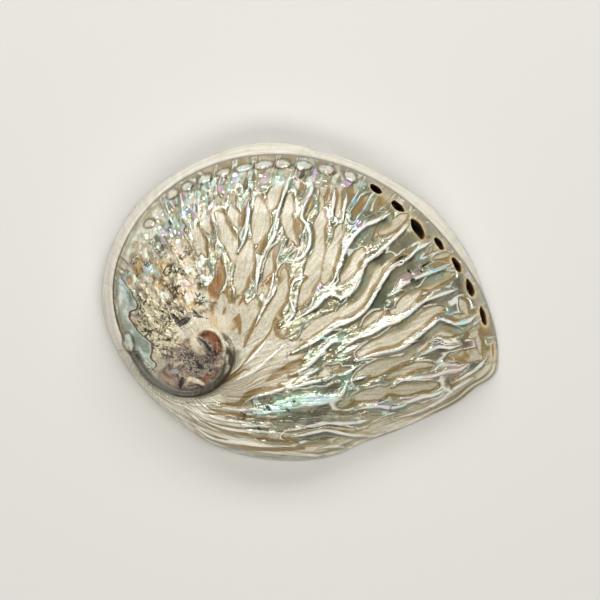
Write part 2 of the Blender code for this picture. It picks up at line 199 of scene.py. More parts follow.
# islands of the beige layer, from the rim side inwards
beigeIslands = [
    (3.4, [(9.2, 35), (7.7, 26), (6.3, 17.4), (4.6, 8.8), (0.6, -1)]),
    (2.6, [(16, 29), (14.2, 22), (12.2, 15), (10, 8)]),
    (2.6, [(24.6, 20), (22.2, 15.8), (19.4, 11.8), (17.4, 8)]),
    (3.3, [(35.6, 17), (30.8, 13.4), (28.2, 8.6), (25, 3), (20.2, -2.6), (15.6, -5.4)]),
    (2.4, [(42.4, 33.6), (37, 29.8), (31.6, 26.4)]),
    (2.2, [(15.2, -5.2), (9.8, -7.8), (5.8, -10.6), (1.2, -14.2)]),
    (1.7, [(33.4, -4), (29, -6.6), (25.2, -10.2)]),
    (3.2, [(56.6, -3.2), (49.8, -5.4), (43.4, -9.8), (37, -14.6), (30.6, -17.4), (24, -20.6)]),
    (2.3, [(48, 4), (42.6, -0.2), (38.8, -4.8)]),
    (2.5, [(61, 10.6), (55.4, 8.6), (49, 5)]),
    (1.5, [(59.4, 18.6), (53, 16.6)]),
    (2, [(52.2, -15.4), (46.6, -19.4), (41, -24)]),
    (2.8, [(40.4, -23), (34.6, -25.4), (29, -27.8), (22.6, -31)]),
    (2, [(53, -25.6), (47.4, -25.8), (41.8, -27.8), (34.6, -30.6)]),
    (2.5, [(54.4, -33.4), (45, -34.4), (37, -35.4), (30.6, -36.8), (22, -38.6)]),
    (1.8, [(64.2, 0.6), (66.8, -4.4)]),
    (1.8, [(71.2, -13), (72.4, -20.4)]),
    (2.2, [(64, -12), (57, -12.2), (50, -14.4)]),
    (2.2, [(15, -26), (5.8, -29.7), (-0.6, -32.8)]),
    (3.6, [(2, -18), (-5.4, -23.4), (-16.6, -31), (-28.4, -38)]),
    (2.4, [(55.6, -41.4), (42.2, -45.8), (30.2, -50)]),
    (2.1, [(20.6, -51.2), (7.2, -52.1), (-6.2, -53.6)]),
    (2.6, [(-7.2, 46.4), (-9.2, 41.9), (-11.4, 37)]),
    (2.2, [(-3.2, 42), (-4.5, 35.4), (-4.2, 30.4), (-2.7, 26), (-0.9, 22.4)]),
    (3.3, [(-16.2, 40.4), (-15, 32.4), (-16.2, 24.6)]),
    (2.8, [(-31.6, 34.8), (-29, 28.2), (-26.8, 21.7), (-25.8, 16.4)]),
    (2.2, [(-26.6, 37), (-24.2, 29.6)]),
    (3.3, [(-20.2, 23.2), (-20.7, 16), (-22.2, 10.2), (-22.7, 5)]),
    (2.1, [(-10.8, 18.2), (-12.1, 10.2), (-13, 2.2)]),
    (2.4, [(-5.8, 12), (-6.7, 3), (-11, -4.2), (-14.4, -11.6)]),
    (1.8, [(4.9, 41), (3.2, 35.6)]),
    (2.2, [(15.8, 49), (14.9, 40), (15.4, 34)]),
    (1.8, [(9.9, 50.2), (9.6, 41.8)]),
    (2, [(-38.2, 34.6), (-35.2, 27.4)]),
    (1.7, [(-0.2, 47.4), (-0.4, 44.6)]),
    (2.3, [(-48.8, 28), (-45.8, 21), (-42.8, 14.4)]),
    (1.8, [(-43.8, 37), (-41.6, 30.6), (-38.8, 24), (-36.8, 18)]),
    (1.7, [(-31.6, 16), (-31, 10), (-31.4, 5.6)]),
    (1.3, [(-29.9, 2.6), (-28.9, -4)]),
    (1.3, [(-22.4, 1), (-22.6, -3.6)]),
    (1.4, [(-26.6, -2), (-25.4, -11)]),
    (1.6, [(-17, 0.6), (-19.6, -8.4)]),
]

# broad rounded fold with a painted highlight along its top
broadFold = (2.5, [(18.6, -33), (17, -36.4), (10.2, -38.8), (4.2, -39.6), (-1.8, -40.4),
    (-7.8, -42), (-13.8, -42.8), (-19.8, -43.6), (-22.6, -45)])

# ovals are given as place, length, width and bearing: patches of the spire first
spirePatches = {
    "hatched": (-40.6, -24.4, 16, 9, -25),
    "brownPatch": (-52.4, -30.4, 9, 6, -30),
    "orangePatch": (-36.2, -28.6, 6.5, 4, 50),
    "bluePatch": (-49.4, -27.6, 3.4, 2.2, 0),
}

# larger ovals: worn patch, its crumbs, pale nacre, spire, pale part beside it, muscle scar
zones = {
    "worn": (-53.8, -2.4, 39, 49, 12),
    "crumbs": (-55, -13, 34, 17, 112),
    "paleNacre": (-62.4, 30, 27, 14, 52),
    "spire": (-41.4, -25.2, 27, 21, 35),
    "pale": (-38, -10.4, 26, 13, 5),
    "scar": (2, -4, 44, 36, 20),
}

# places with fine black scratches
scratchedSpots = [
    (-15, -41.4, 20, 7, 10), (8.2, -28.2, 14, 5, 15), (21.4, -32.6, 4, 6, 0),
    (42.2, 17.8, 7, 3, 30), (48.2, 12.6, 8, 3, 25), (30.6, 19, 3, 2.4, 0), (33.4, -39.4, 6, 2.4, 0),
    (-14, -47.6, 14, 3.4, 5), (-2.4, -19, 18, 8, 30), (14, -12, 8, 4, 20), (-21.6, -44, 3, 5, 0),
    (-63.6, 15, 10, 7, -30), (-57.6, 23.6, 5, 4, -50), (-52, 8, 8, 4, -20), (-47.6, 33.6, 6, 3, 30),
]

# open holes, each an oval and its lean towards the hollow
openHoles = [
    (30.2, 44.6, 5.4, 3.2, -39, 0.2), (38.8, 37.8, 5.8, 3.4, -42, 0.2),
    (46.8, 29, 8.6, 4.3, -62, 0.22), (55.4, 23, 5.6, 3.3, -52, 0.25),
    (62.4, 14.6, 6.4, 3.2, -58, 0.28), (67.8, 5.4, 7, 3.8, -66, 0.32),
    (73.2, -5.8, 8, 3.6, -72, 0.45), (77.4, -19.6, 6.8, 2.2, -86, 1.4),
]

# closed holes, as pearly ovals
closedHoles = [
    (20.2, 49.6, 4.4, 2.8, -35), (10.6, 52.4, 5, 3, -15), (1.4, 53.8, 5, 2.8, -5),
    (-6.6, 54.6, 4.8, 2.8, 0), (-14.2, 54.2, 6, 2.4, 8), (-21.8, 53, 5.6, 2, 12),
    (-30.2, 51.2, 4.2, 2, 18), (-37.6, 48.6, 4.6, 2.4, 26), (-44.6, 45.6, 3.6, 2.4, 30),
    (-50.4, 42.6, 3.8, 2.6, 35), (-59.4, 31, 3.2, 2.4, 20), (-67.8, -16.4, 6, 3.2, 105),
]

# iridescent places, each an oval, its place on the ramp of pearl hues and its strength
iridescentSpots = [
    (-4, -40.4, 42, 8, -170, 0.62, 0.8), (18, -33, 6, 7, 0, 0.62, 0.8),
    (-13, -43.4, 9, 4, 10, 0.72, 0.75), (7, -38.6, 6, 3, 10, 0.88, 0.5),
    (16, -14.4, 8, 4, 20, 0.62, 0.7), (21.6, 39.6, 4, 4, 0, 0.74, 1),
    (24.6, 37.6, 5, 6, -40, 0.93, 0.9), (22, 30, 5, 6, -50, 0.88, 0.8),
    (43, 9.6, 12, 5, 25, 0.22, 0.9), (54.4, 13.2, 9, 3.5, 20, 0.74, 0.9),
    (65.2, -8.4, 7, 3.5, 10, 0.74, 0.8), (59.2, -5.4, 7, 4, 10, 0.88, 0.6),
    (62.2, -25.6, 9, 4, 20, 0.22, 0.8), (69, -17.6, 7, 5, 40, 0.22, 0.8),
    (-3, 18, 5, 8, -60, 0.62, 0.7), (-69.8, 8.6, 5, 9, 80, 0.8, 0.9),
    (-53.2, 28, 4, 4, 0, 0.93, 0.9), (-45.2, 35.2, 4, 4, 0, 0.8, 0.9),
    (-64, -4, 6, 10, 10, 0.66, 0.35), (-61, -20, 6, 10, 10, 0.74, 0.35),
    (-52, 40, 3, 4, 0, 0.93, 0.7), (-38, 46, 3, 5, 0, 0.74, 0.8), (-30, 40, 3, 5, 0, 0.25, 0.6),
    (-22, 44, 3, 6, 0, 0.74, 0.9), (-14, 46, 3, 5, 10, 0.9, 0.7), (-9, 42, 3, 5, 10, 0.5, 0.6),
    (-3, 46, 2.5, 6, 10, 0.7, 0.7), (7, 38, 3, 9, 20, 0.74, 0.6), (12, 42, 3, 7, 10, 0.25, 0.7),
    (2, 26, 3, 6, 30, 0.66, 0.5), (48, 17, 4, 4, 20, 0.88, 0.6), (36, -1, 5, 3, 20, 0.7, 0.5),
    (28, -36, 6, 3, 10, 0.28, 0.5), (50, -34, 6, 3, 10, 0.25, 0.6),
]

# growth folds: height, run behind the crest, run in front at its outer and its inner end,
# then the crest in plan from the hole row inwards; the steep front lies to its left
foldCrests = [
    (1.4, 3.2, 5, 3, [(35.8, 35), (30.6, 32.2), (25.8, 30.2), (22.6, 27.4), (19.8, 23.8),
        (17.8, 20.2), (16.2, 15.8), (14.6, 11.8), (13, 7)]),
    (1.9, 3.4, 6, 2.6, [(43, 30.6), (36.6, 24.6), (31, 19), (25.8, 15.4), (24.2, 11.4), (22.6, 6.6),
        (19, 3), (16.6, 1.8), (13, 3.4), (10.2, 2.2), (7, -1), (3.4, -3.8), (-1, -6.6)]),
    (1.9, 3.4, 5.4, 2.8, [(52.2, 23.8), (47.4, 21.4), (42.2, 17), (36.6, 13.8), (33.4, 9.4),
        (30.6, 5), (28.2, 0.6), (24.6, -4.2), (19.8, -7.4), (14.2, -9.8), (9, -13.4), (3.8, -16.6),
        (-3, -20.2)]),
    (1.7, 2.8, 5, 6, [(59.8, 15), (55, 13), (49.8, 11), (45, 9), (40.6, 6.6), (37.4, 3.4),
        (35, 2.2)]),
    (1.9, 3.2, 3.4, 3.4, [(62.6, 5), (57.4, 3.4), (53, 1.8), (48.2, -0.2), (43.8, -3.8), (39.4, -7),
        (33.4, -9.4), (27.4, -12.6), (23, -13.8), (19, -16.6), (15, -19.8)]),
    (0.8, 1.6, 1.6, 1.6, [(40.2, -5), (37, -6.2), (34.2, -5.8), (32.2, -7.4), (28.6, -9.8)]),
    (1.9, 3.2, 5, 2.6, [(70.2, -5.4), (66.6, -7.8), (62.2, -8.6), (58.2, -7.4), (55.8, -6.6),
        (52.2, -9), (47.8, -12.6), (43.4, -16.2), (39, -18.6), (33.4, -19.8), (27.4, -21.4),
        (22.2, -23.8)]),
    (0.9, 1.4, 1.6, 1.6, [(62.2, -15.8), (58.6, -15.8), (55, -14.2), (51.4, -15.8)]),
    (1.5, 2.6, 3.4, 2.2, [(64.2, -17), (59.8, -18.2), (55, -17.8), (51.4, -19.4), (47.4, -21),
        (44.6, -23)]),
    (0.7, 1.4, 1.4, 1.4, [(62.6, -23.8), (58.2, -23.8), (55, -25.4), (52.2, -27.8)]),
    (1.6, 2.8, 3, 2.2, [(67.4, -24.6), (64.2, -26.6), (59, -27.4), (53, -29.4), (47, -30.2),
        (41, -31), (36.6, -33.8)]),
    (0.8, 1.6, 1.6, 1.6, [(74.6, -22.2), (71.4, -25.8), (67, -29), (61, -32.2)]),
    (1.1, 2, 1.8, 1.8, [(69.4, -30.2), (65, -32.6), (60.2, -35.8), (56.2, -39.4), (51.4, -42.2),
        (46.2, -44.2), (38.2, -46.2)]),
    (1.5, 2.8, 3.6, 3.6, [(58.2, -34.6), (54.6, -36.6), (49, -37.8), (44.2, -39.4), (40.2, -41.4),
        (37, -42.2), (32.2, -41.4), (26.6, -41.8), (21.8, -43)]),
    (1.1, 2, 2.6, 2.2, [(34.2, -52.2), (30.2, -53.4), (26.2, -53.2), (22.2, -53.2), (18.2, -52.6),
        (14.2, -51.6), (10.2, -51), (6.2, -51.6), (2.2, -52.6), (-3.8, -53.8)]),
    (0.7, 1.4, 1.4, 1.4, [(27.4, -47), (20.2, -48.2), (14.2, -48.2), (9, -48.2), (5, -49),
        (0.2, -50.2), (-6, -51.2)]),
    (1, 2.2, 1.8, 2, [(18.2, -58.4), (16.2, -57.8), (13.8, -57.6), (10.2, -58), (7, -58.8)]),
    (1.2, 3, 2.4, 2, [(9.4, -61.4), (2.2, -60.9), (-3.8, -60.3), (-11.8, -60), (-19.8, -58.8),
        (-25.8, -57.4), (-29.8, -57.2), (-36.6, -54.8), (-41, -51.6)]),
    (0.6, 1.6, 1.4, 1.2, [(-10, -49.4), (-16, -49), (-23, -49), (-30, -48.4), (-36, -46.6),
        (-42, -43.6), (-46.6, -40.6)]),
    (0.5, 1.4, 1.2, 1, [(-14, -53.2), (-22, -53), (-29, -51.6), (-35, -50), (-40.6, -46.6),
        (-45.4, -43.2)]),
    (1.6, 3, 3.6, 3.6, [(16.6, -14.2), (12.2, -15.8), (9, -19.4), (6.2, -22.2), (3.4, -25),
        (-0.2, -27.4), (-3.8, -29)]),
    (1.7, 2.6, 5, 4.4, [(13.8, -29.4), (8.2, -31), (2.6, -32.2), (-2.6, -33.8), (-7.4, -34.6),
        (-12.6, -36.2), (-17.8, -37.4), (-21.8, -39.8)]),
    (0.9, 1.8, 2, 2, [(8.2, -26.2), (4.2, -28.2), (0.2, -30.6), (-3, -33)]),
    (1.3, 3.6, 5, 5, [(18.6, -33), (16.2, -37), (9, -39.8), (1, -40.6), (-7, -42.6), (-15, -43.8),
        (-22.6, -45)]),
    (1, 2.2, 2.6, 2.6, [(26.6, -29.4), (22.6, -30.6), (18.6, -32.2)]),
    (1.1, 1.8, 2, 1.8, [(3.4, 49.4), (4.6, 45), (1.8, 38.2), (1, 32.6), (4.6, 29.8)]),
    (1, 1.6, 1.8, 1.6, [(13.8, 44.2), (13, 38), (13, 31.8)]),
    (1, 1.6, 1.6, 1.6, [(18.6, 42.6), (17.4, 36), (17, 31.4)]),
    (0.9, 1.6, 1.4, 1.4, [(-3.4, 51), (-6.6, 41.8), (-10.6, 28.2)]),
    (1, 1.6, 1.6, 1.6, [(-20.2, 39.4), (-20.8, 32), (-21.4, 26.6), (-24.6, 19)]),
    (1.1, 1.8, 1.8, 1.6, [(-8.2, 32.6), (-10.6, 25), (-14.2, 19), (-16.2, 13), (-17.4, 3.8)]),
    (1.1, 1.8, 2.2, 2.2, [(0.5, 33.2), (3.4, 28.9), (3.4, 21.7), (0.5, 17.4), (-5.2, 16)]),
    (1.2, 2, 2.8, 2.4, [(2, 9.8), (-2.4, 8), (-3.4, 4)]),
    (0.9, 1.6, 1.6, 1.4, [(-3.8, 0.8), (-2.4, -4.2), (-4.5, -7.8), (-6, -10.7)]),
    (0.9, 1.8, 1.2, 1.2, [(-10.3, 10.9), (-11, 5.9), (-14.6, -2.8), (-17.5, -9.2)]),
]


# cubic through the stations with centred slopes, held at both ends
def smoothThrough(stations, values, at):
    stations = np.asarray(stations, float)
    values = np.asarray(values, float)
    slopes = np.gradient(values, stations)
    at = np.clip(at, stations[0], stations[-1])
    left = np.clip(np.searchsorted(stations, at, side="right") - 1, 0, len(stations) - 2)
    gap = stations[left + 1] - stations[left]
    t = (at - stations[left]) / gap
    start = (1 + 2 * t) * (1 - t) ** 2 * values[left]
    end = t * t * (3 - 2 * t) * values[left + 1]
    bend = t * (1 - t) ** 2 * gap * slopes[left] - t * t * (1 - t) * gap * slopes[left + 1]
    return start + end + bend


# the same cubic on a closed turn of 360 degrees
def smoothRound(stations, values, at):
    order = np.argsort(stations)
    stations = np.asarray(stations, float)[order]
    values = np.asarray(values, float)[order]
    wide = np.concatenate([stations[-3:] - 360.0, stations, stations[:3] + 360.0])
    high = np.concatenate([values[-3:], values, values[:3]])
    return smoothThrough(wide, high, (at - stations[0]) % 360.0 + stations[0])


# a column of a table read by that cubic, or by the one that closes after a whole turn
def smoothTable(table, at, column=1, closed=False):
    table = np.array(table, float)
    return (smoothRound if closed else smoothThrough)(table[:, 0], table[:, column], at)


# a table read by straight lines between its stations
def straightTable(table, at, outside=None):
    stations, values = np.array(table, float).T
    return np.interp(at, stations, values, left=outside, right=outside)


# 0 below 0, 1 above 1, and an S between
def softStep(value):
    value = np.clip(value, 0.0, 1.0)
    return value * value * (3.0 - 2.0 * value)


# an S up from the low value and an S down to the high one, each over its run
def between(value, low, run, high, fall):
    return softStep((value - low) / run) * softStep((high - value) / fall)


# 1 at 0, falling off on both sides as exp(-(value / width)^2)
def bell(value, width):
    return np.exp(-((value / width) ** 2))


# random heights on a square lattice, blended by an S between its points: -1 to 1
def softNoise(x, y, size, seed):
    lattice = np.random.default_rng(seed).random((128, 128))
    gx, gy = x / size, y / size
    ix, iy = np.floor(gx).astype(int), np.floor(gy).astype(int)
    sx, sy = softStep(gx - ix), softStep(gy - iy)
    low = lattice[ix % 128, iy % 128] * (1 - sx) + lattice[(ix + 1) % 128, iy % 128] * sx
    high = lattice[ix % 128, (iy + 1) % 128] * (1 - sx)
    high = high + lattice[(ix + 1) % 128, (iy + 1) % 128] * sx
    return 2.0 * (low * (1 - sy) + high * sy) - 1.0


# bearing in degrees and distance from a middle, in plan
def bearingReach(x, y, middle):
    dx, dy = x - middle[0], y - middle[1]
    return np.degrees(np.arctan2(dy, dx)), np.hypot(dx, dy)


# plan position of a bearing and a distance from the dome's centre
def planPoint(bearing, reach):
    angle = np.radians(bearing)
    centre = shellForm["domeCentre"]
    return centre[0] + reach * np.cos(angle), centre[1] + reach * np.sin(angle)


# distance from the dome's centre to the rim: the outline as a closed cubic over the bearing
def rimReach(bearing):
    points = np.array(rimOutline)
    stations, reaches = bearingReach(points[:, 0], points[:, 1], shellForm["domeCentre"])
    return smoothRound(stations, reaches, bearing)


# plain dome: rim edge + (height - rim edge) x (1 - share^flat)^fall
def domeHeight(bearing, reach):
    flat = smoothTable(domeFall, bearing, 1, True)
    fall = smoothTable(domeFall, bearing, 2, True)
    share = np.clip(reach / rimReach(bearing), 0.0, 1.0)
    rise = shellForm["domeHeight"] - shellForm["rimEdge"]
    return shellForm["rimEdge"] + rise * (1.0 - share**flat) ** fall


# signed distance across a line that winds about the spire, for its last whole turn
def windingDistance(turn, reach, table):
    lineReach = smoothTable(table, turn)
    slope = (smoothTable(table, turn + 1.0) - lineReach) * 180.0 / math.pi
    return (reach - lineReach) / np.sqrt(1.0 + (slope / lineReach) ** 2)


# reach inside a turned oval: 1 on its edge
def ovalReach(x, y, hole):
    turn = math.radians(hole[4])
    dx, dy = x - hole[0], y - hole[1]
    along = dx * math.cos(turn) + dy * math.sin(turn)
    across = dy * math.cos(turn) - dx * math.sin(turn)
    return np.hypot(along / (0.5 * hole[2]), across / (0.5 * hole[3]))


# 1 inside a turned oval, 0 outside, with a soft and perhaps rough edge
def inOval(x, y, oval, edge, run, rough=0.0):
    return softStep((edge - ovalReach(x, y, oval) + rough) / run)


# signed distance to a smooth line through points, left positive, and how far along it
def pathDistance(x, y, points, pieces=5):
    points = np.array(points, float)
    steps = np.linalg.norm(np.diff(points, axis=0), axis=1)
    along = np.concatenate([[0.0], np.cumsum(steps)])
    fine = np.linspace(0.0, along[-1], pieces * len(points))
    lineX = smoothThrough(along, points[:, 0], fine)
    lineY = smoothThrough(along, points[:, 1], fine)
    wayX, wayY = np.diff(lineX), np.diff(lineY)
    dx, dy = x[:, None] - lineX[None, :-1], y[:, None] - lineY[None, :-1]
    t = np.clip((dx * wayX + dy * wayY) / (wayX**2 + wayY**2), 0.0, 1.0)
    gap = np.hypot(dx - t * wayX, dy - t * wayY)
    nearest = np.argmin(gap, axis=1)
    rows = np.arange(len(x))
    side = np.sign(wayX[nearest] * dy[rows, nearest] - wayY[nearest] * dx[rows, nearest])
    place = fine[nearest] + t[rows, nearest] * (fine[1] - fine[0])
    return side * gap[rows, nearest], place, along[-1]


# a soft-edged line of changing width: 1 on it, 0 beyond; the ends come to points
def taperedLine(x, y, points, halfWidth):
    near = (np.abs(x - points[0][0]) < 40.0) & (np.abs(y - points[0][1]) < 40.0)
    line = np.zeros_like(x)
    distance, place, whole = pathDistance(x[near], y[near], points)
    width = halfWidth * (0.25 + 0.75 * np.sin(math.pi * np.clip(place / whole, 0.0, 1.0)) ** 0.7)
    line[near] = softStep((width + 0.35 - np.abs(distance)) / 0.7)
    return line


# the strongest of several such lines
def drawnLines(x, y, lines):
    return np.max([taperedLine(x, y, line, width) for width, line in lines], axis=0)


# which points lie within a margin of the box round a line
def nearLine(x, y, line, margin):
    low, high = np.min(line, axis=0) - margin, np.max(line, axis=0) + margin
    return (x > low[0]) & (x < high[0]) & (y > low[1]) & (y < high[1])


# folds: each rises behind its crest line and falls in front of it, and the highest one wins;
# the wheel has gone through to the ochre layer behind a crest and to the nacre in front of it
def foldField(x, y):
    relief, ochre, nacre = np.zeros_like(x), np.zeros_like(x), np.zeros_like(x)
    crestGap = np.full_like(x, 3.0)
    nearestFold = np.full_like(x, 99.0)
    wander = 0.8 * softNoise(x, y, 5.0, 11) + 0.4 * softNoise(x, y, 2.0, 12)
    swell = 1.0 + 0.25 * softNoise(x, y, 8.0, 13)
    for height, back, frontStart, frontEnd, crest in foldCrests:
        near = nearLine(x, y, crest, back + frontStart + frontEnd + 4.0)
        distance, place, whole = pathDistance(x[near], y[near], crest)
        behind = distance < 0.0
        front = frontStart + (frontEnd - frontStart) * place / whole
        ends = softStep(0.35 + place / 3.5) * softStep(0.12 + (whole - place) / 11.0)
        taper = 0.15 + 0.85 * ends
        front, behindRun = front * taper, back * taper
        rounded = np.sqrt(distance**2 + 0.06) - 0.245
        backRise = np.clip(1.0 - rounded / (1.5 * behindRun), 0.0, 1.0) ** 1.8
        frontRise = softStep(1.0 - rounded / (1.15 * front)) ** 1.2
        shape = height * swell[near] * np.where(behind, backRise, frontRise) * (0.3 + 0.7 * ends)
        relief[near] = np.maximum(relief[near], shape)
        backOchre = 1.0 + (distance + 0.5 * wander[near]) / (0.8 * behindRun)
        shape = np.clip(np.where(behind, backOchre, 1.0 - distance / (front + 1.0)), 0.0, 1.0)
        ochre[near] = np.maximum(ochre[near], shape)
        frontNacre = 1.0 - 0.9 * (distance + wander[near]) / front
        shape = np.where(behind, 1.0 + distance / 0.5, frontNacre)
        nacre[near] = np.maximum(nacre[near], np.clip(shape, 0.0, 1.0))
        shown = softStep((place + 0.2) / 4.0) * softStep((whole - place + 0.2) / 8.0)
        gap = (distance - 0.2) / (0.15 + 0.85 * shown)
        crestGap[near] = np.where(np.abs(gap) < np.abs(crestGap[near]), gap, crestGap[near])
        nearestFold[near] = np.minimum(nearestFold[near], np.abs(distance))
    return relief, ochre, nacre, crestGap, nearestFold


# how deep a point lies inside the drawn islands, in mm, with blunt ends: less than 0 outside
def islandDepth(x, y):
    depth, side = np.full_like(x, -4.0), np.zeros_like(x)
    for halfWidth, line in beigeIslands:
        near = nearLine(x, y, line, 7.0)
        distance, place, whole = pathDistance(x[near], y[near], line)
        bulge = np.sin(math.pi * np.clip(place / whole, 0.0, 1.0)) ** 0.6
        inside = 1.18 * halfWidth * (0.45 + 0.55 * bulge) - np.abs(distance)
        side[near] = np.where(inside > depth[near], np.sign(distance), side[near])
        depth[near] = np.maximum(depth[near], inside)
    return depth, side


# islands of the beige layer: long cells round seeds that stand in rings about the spire, each
# stretched along the folds; the value is the distance to the border between two cells
def islandBorders(x, y):
    rng = np.random.default_rng(7)
    best = np.full((2, len(x)), 99.0)
    ring = 9.0
    while ring < 125.0:
        count = int(round(2.0 * math.pi * ring / (3.4 + 0.062 * ring)))
        turns = (np.arange(count) + rng.uniform(-0.3, 0.3, count)) * 360.0 / count
        reaches = ring * np.exp(rng.uniform(-0.11, 0.11, count))
        for turn, reach in zip(turns, reaches):
            seedX = shellForm["spireTip"][0] + reach * math.cos(math.radians(turn))
            seedY = shellForm["spireTip"][1] + reach * math.sin(math.radians(turn))
            lean = math.radians(turn + foldLean(turn, reach))
            across = 1.7 + 0.031 * reach
            length = 0.24 * reach + 2.0
            dx, dy = x - seedX, y - seedY
            near = (np.abs(dx) < 4.0 * length) & (np.abs(dy) < 4.0 * length)
            u = dx[near] * math.cos(lean) + dy[near] * math.sin(lean)
            v = dy[near] * math.cos(lean) - dx[near] * math.sin(lean)
            distance = across * np.hypot(u / length, v / across)
            first, second = best[0][near], best[1][near]
            best[1][near] = np.minimum(second, np.maximum(first, distance))
            best[0][near] = np.minimum(first, distance)
        ring *= 1.36
    return 0.8 * (best[1] - best[0])


# how far the folds lean from the straight way out of the spire, in degrees
def foldLean(turn, reach):
    bearing = (turn + 180.0) % 360.0 - 180.0
    twist = straightTable(foldTwist, bearing)
    slope = straightTable(foldTwist, bearing + 1.0) - twist
    spread = max(1.0 - slope * math.log(max(reach, 1.0) / shellForm["flowReach"]), 0.5)
    return math.degrees(math.atan(math.radians(twist / spread)))


# growth flow: the turn about the spire less a twist that grows towards the lip, wound on a
# cylinder so that it has no seam, with the distance from the spire as its height
def growthFlow(x, y, insideGroove):
    bearing, reach = bearingReach(x, y, shellForm["spireTip"])
    twist = smoothTable(foldTwist, bearing) * np.where(bearing < 0.0, 1.0 - insideGroove, 1.0)
    reach, radius = np.maximum(reach, 1.0), shellForm["flowRadius"]
    growth = np.radians(bearing - twist * np.log(reach / shellForm["flowReach"]))
    height = shellForm["flowReach"] * np.log(reach)
    return np.column_stack([radius * np.cos(growth), radius * np.sin(growth), height])


# every mask and height of the outside at plan points, as one dictionary of arrays
def surfaceFields(x, y):
    def noise(size, seed):
        return softNoise(x, y, size, seed)

    bearing, reach = bearingReach(x, y, shellForm["domeCentre"])
    rim = rimReach(bearing)
    spireBearing, spireReach = bearingReach(x, y, shellForm["spireTip"])
    turn = (-spireBearing) % 360.0
    across = windingDistance(turn, spireReach, sideGroove)
    inRow = windingDistance(turn, spireReach, holeRow)
    groove = bell(across, smoothTable(grooveWidth, turn))
    late = softStep((turn - 165.0) / 25.0)
    band = softStep(0.5 + across) * late
    body = softStep(0.5 - across)

    # smooth pearly strip inside the groove, worn patch, and facets below the hole row
    stripReach = straightTable(stripWidth, turn, -2.0) + 0.5 * noise(2.0, 21) + 0.3 * noise(5.0, 36)
    toStrip = across + stripReach
    fromFoot = across + straightTable(stripFoot, turn)
    smoothStrip = softStep(toStrip / 0.7 + 0.5) * softStep(0.5 - fromFoot / 0.8)
    ragged = 0.20 * noise(6.0, 31) + 0.10 * noise(2.5, 35)
    worn = inOval(x, y, zones["worn"], 1.08, 0.22, ragged)
    worn = worn * (1.0 - smoothStrip) * (1.0 - band) * softStep((spireReach - 11.0) / 3.0)
    facets = softStep((inRow + straightTable(facetDepth, turn)) / 6.0) * softStep(0.5 - inRow / 2.0)
    facets = facets * (1.0 - band) * between(turn, 205.0, 12.0, 324.0, 12.0) * (1.0 - 0.6 * worn)

    # lower margin: narrow growth ridges that follow the rim and close up to the lower left
    marginGap = rim - reach
    whole = marginGap + np.maximum(across, 0.0)
    lineGap = marginGap * np.maximum(26.0 / np.maximum(whole, 4.0), 1.0)
    turnedIn = softStep((-58.0 - spireBearing) / 30.0)
    marginZone = between(spireBearing, -176.0, 20.0, 6.0, 14.0) * softStep(across / 2.0)
    marginZone = marginZone * softStep((8.5 + 20.0 * turnedIn - marginGap) / 6.0) * (1.0 - band)

    # folds, and islands between them: drawn ones, and cells where none is drawn
    relief, ochre, nacre, crestGap, nearestFold = foldField(x, y)
    borders = islandBorders(x, y) + 0.35 * noise(2.0, 22) + 0.3 * noise(5.0, 23)
    edge, edgeSide = islandDepth(x, y)
    edge = edge + 0.45 * noise(2.6, 24) + 0.5 * noise(6.0, 25)
    lastWhorl = late * body + (1.0 - late) * softStep(across / 2.0)
    foldsFrom = straightTable(foldStart, spireBearing)
    foldsFrom = foldsFrom + 6.0 * softNoise(spireBearing, spireReach, 5.0, 28)
    drawnZone = between(spireBearing, -84.0, 16.0, 126.0, 16.0) * lastWhorl
    drawnZone = drawnZone * softStep((spireReach - foldsFrom) / 20.0) ** 0.7
    drawnZone = drawnZone * (1.0 - 0.6 * marginZone)
    upperLeft = between(spireBearing, 104.0, 16.0, 185.0, 30.0)
    upperLeft = upperLeft * softStep((spireReach - 8.0) / 6.0) * body
    fillerGap = 2.4 - softStep((spireBearing - 30.0) / 30.0)
    edge = np.where(edge > 0.0, edge, np.maximum(edge, np.minimum(borders - fillerGap, 0.7)))
    edge = edge * drawnZone + (1.0 - drawnZone) * (3.0 + (borders - 4.0) * upperLeft)
    network = np.maximum(drawnZone, upperLeft)
    strand = softStep((0.1 - edge) / 1.1) * network * softStep((nearestFold - 1.0) / 1.5)
    relief = np.maximum(relief, 0.75 * strand)
    nacre = np.maximum(nacre, network * np.clip(0.26 - 0.34 * edge, 0.0, 0.72))
    rimWidth = np.maximum(1.1 + 0.6 * edgeSide + 0.5 * noise(4.0, 26), 0.3)
    ochre = np.maximum(ochre, 0.8 * network * np.clip(1.0 - edge / rimWidth, 0.0, 1.0))

    bumps = noise(3.0, 41) * noise(2.1, 42) * 2.0
    relief = relief + facets * 0.45 * np.clip(bumps, -1.0, 1.0)
    nacre = np.maximum(nacre, facets * np.clip(0.45 + 0.6 * noise(3.0, 43), 0.0, 1.0))
    ochre = ochre * (1.0 - 0.5 * facets)

    ridge = 0.7 * softNoise(lineGap, bearing * 0.045, 1.5, 44)
    ridge = ridge + 0.3 * softNoise(lineGap, bearing * 0.12, 0.8, 45)
    quiet = marginZone * softStep((nearestFold - 0.8) / 1.2)
    relief = relief + 0.35 * ridge * quiet
    # the tops of the margin ridges carry a painted highlight
    crestLine = quiet * np.clip(2.4 * ridge - 0.35, 0.0, 0.9)
    ochre = ochre * (1.0 - 0.7 * quiet)
    ridgeNacre = quiet * np.clip(2.4 * ridge - 0.25, 0.0, 0.9)
    nacre = np.maximum(nacre * (1.0 - 0.5 * quiet), ridgeNacre)

    broad = taperedLine(x, y, broadFold[1], broadFold[0])
    relief = relief + 0.9 * broad
    # the top of the broad fold carries a painted highlight
    broadCrestHighlight = broad * np.clip(0.8 + 0.7 * noise(4.0, 29), 0.0, 1.0)
    crestLine = np.maximum(crestLine, 0.8 * broadCrestHighlight)
    nacre = np.maximum(nacre, broad)

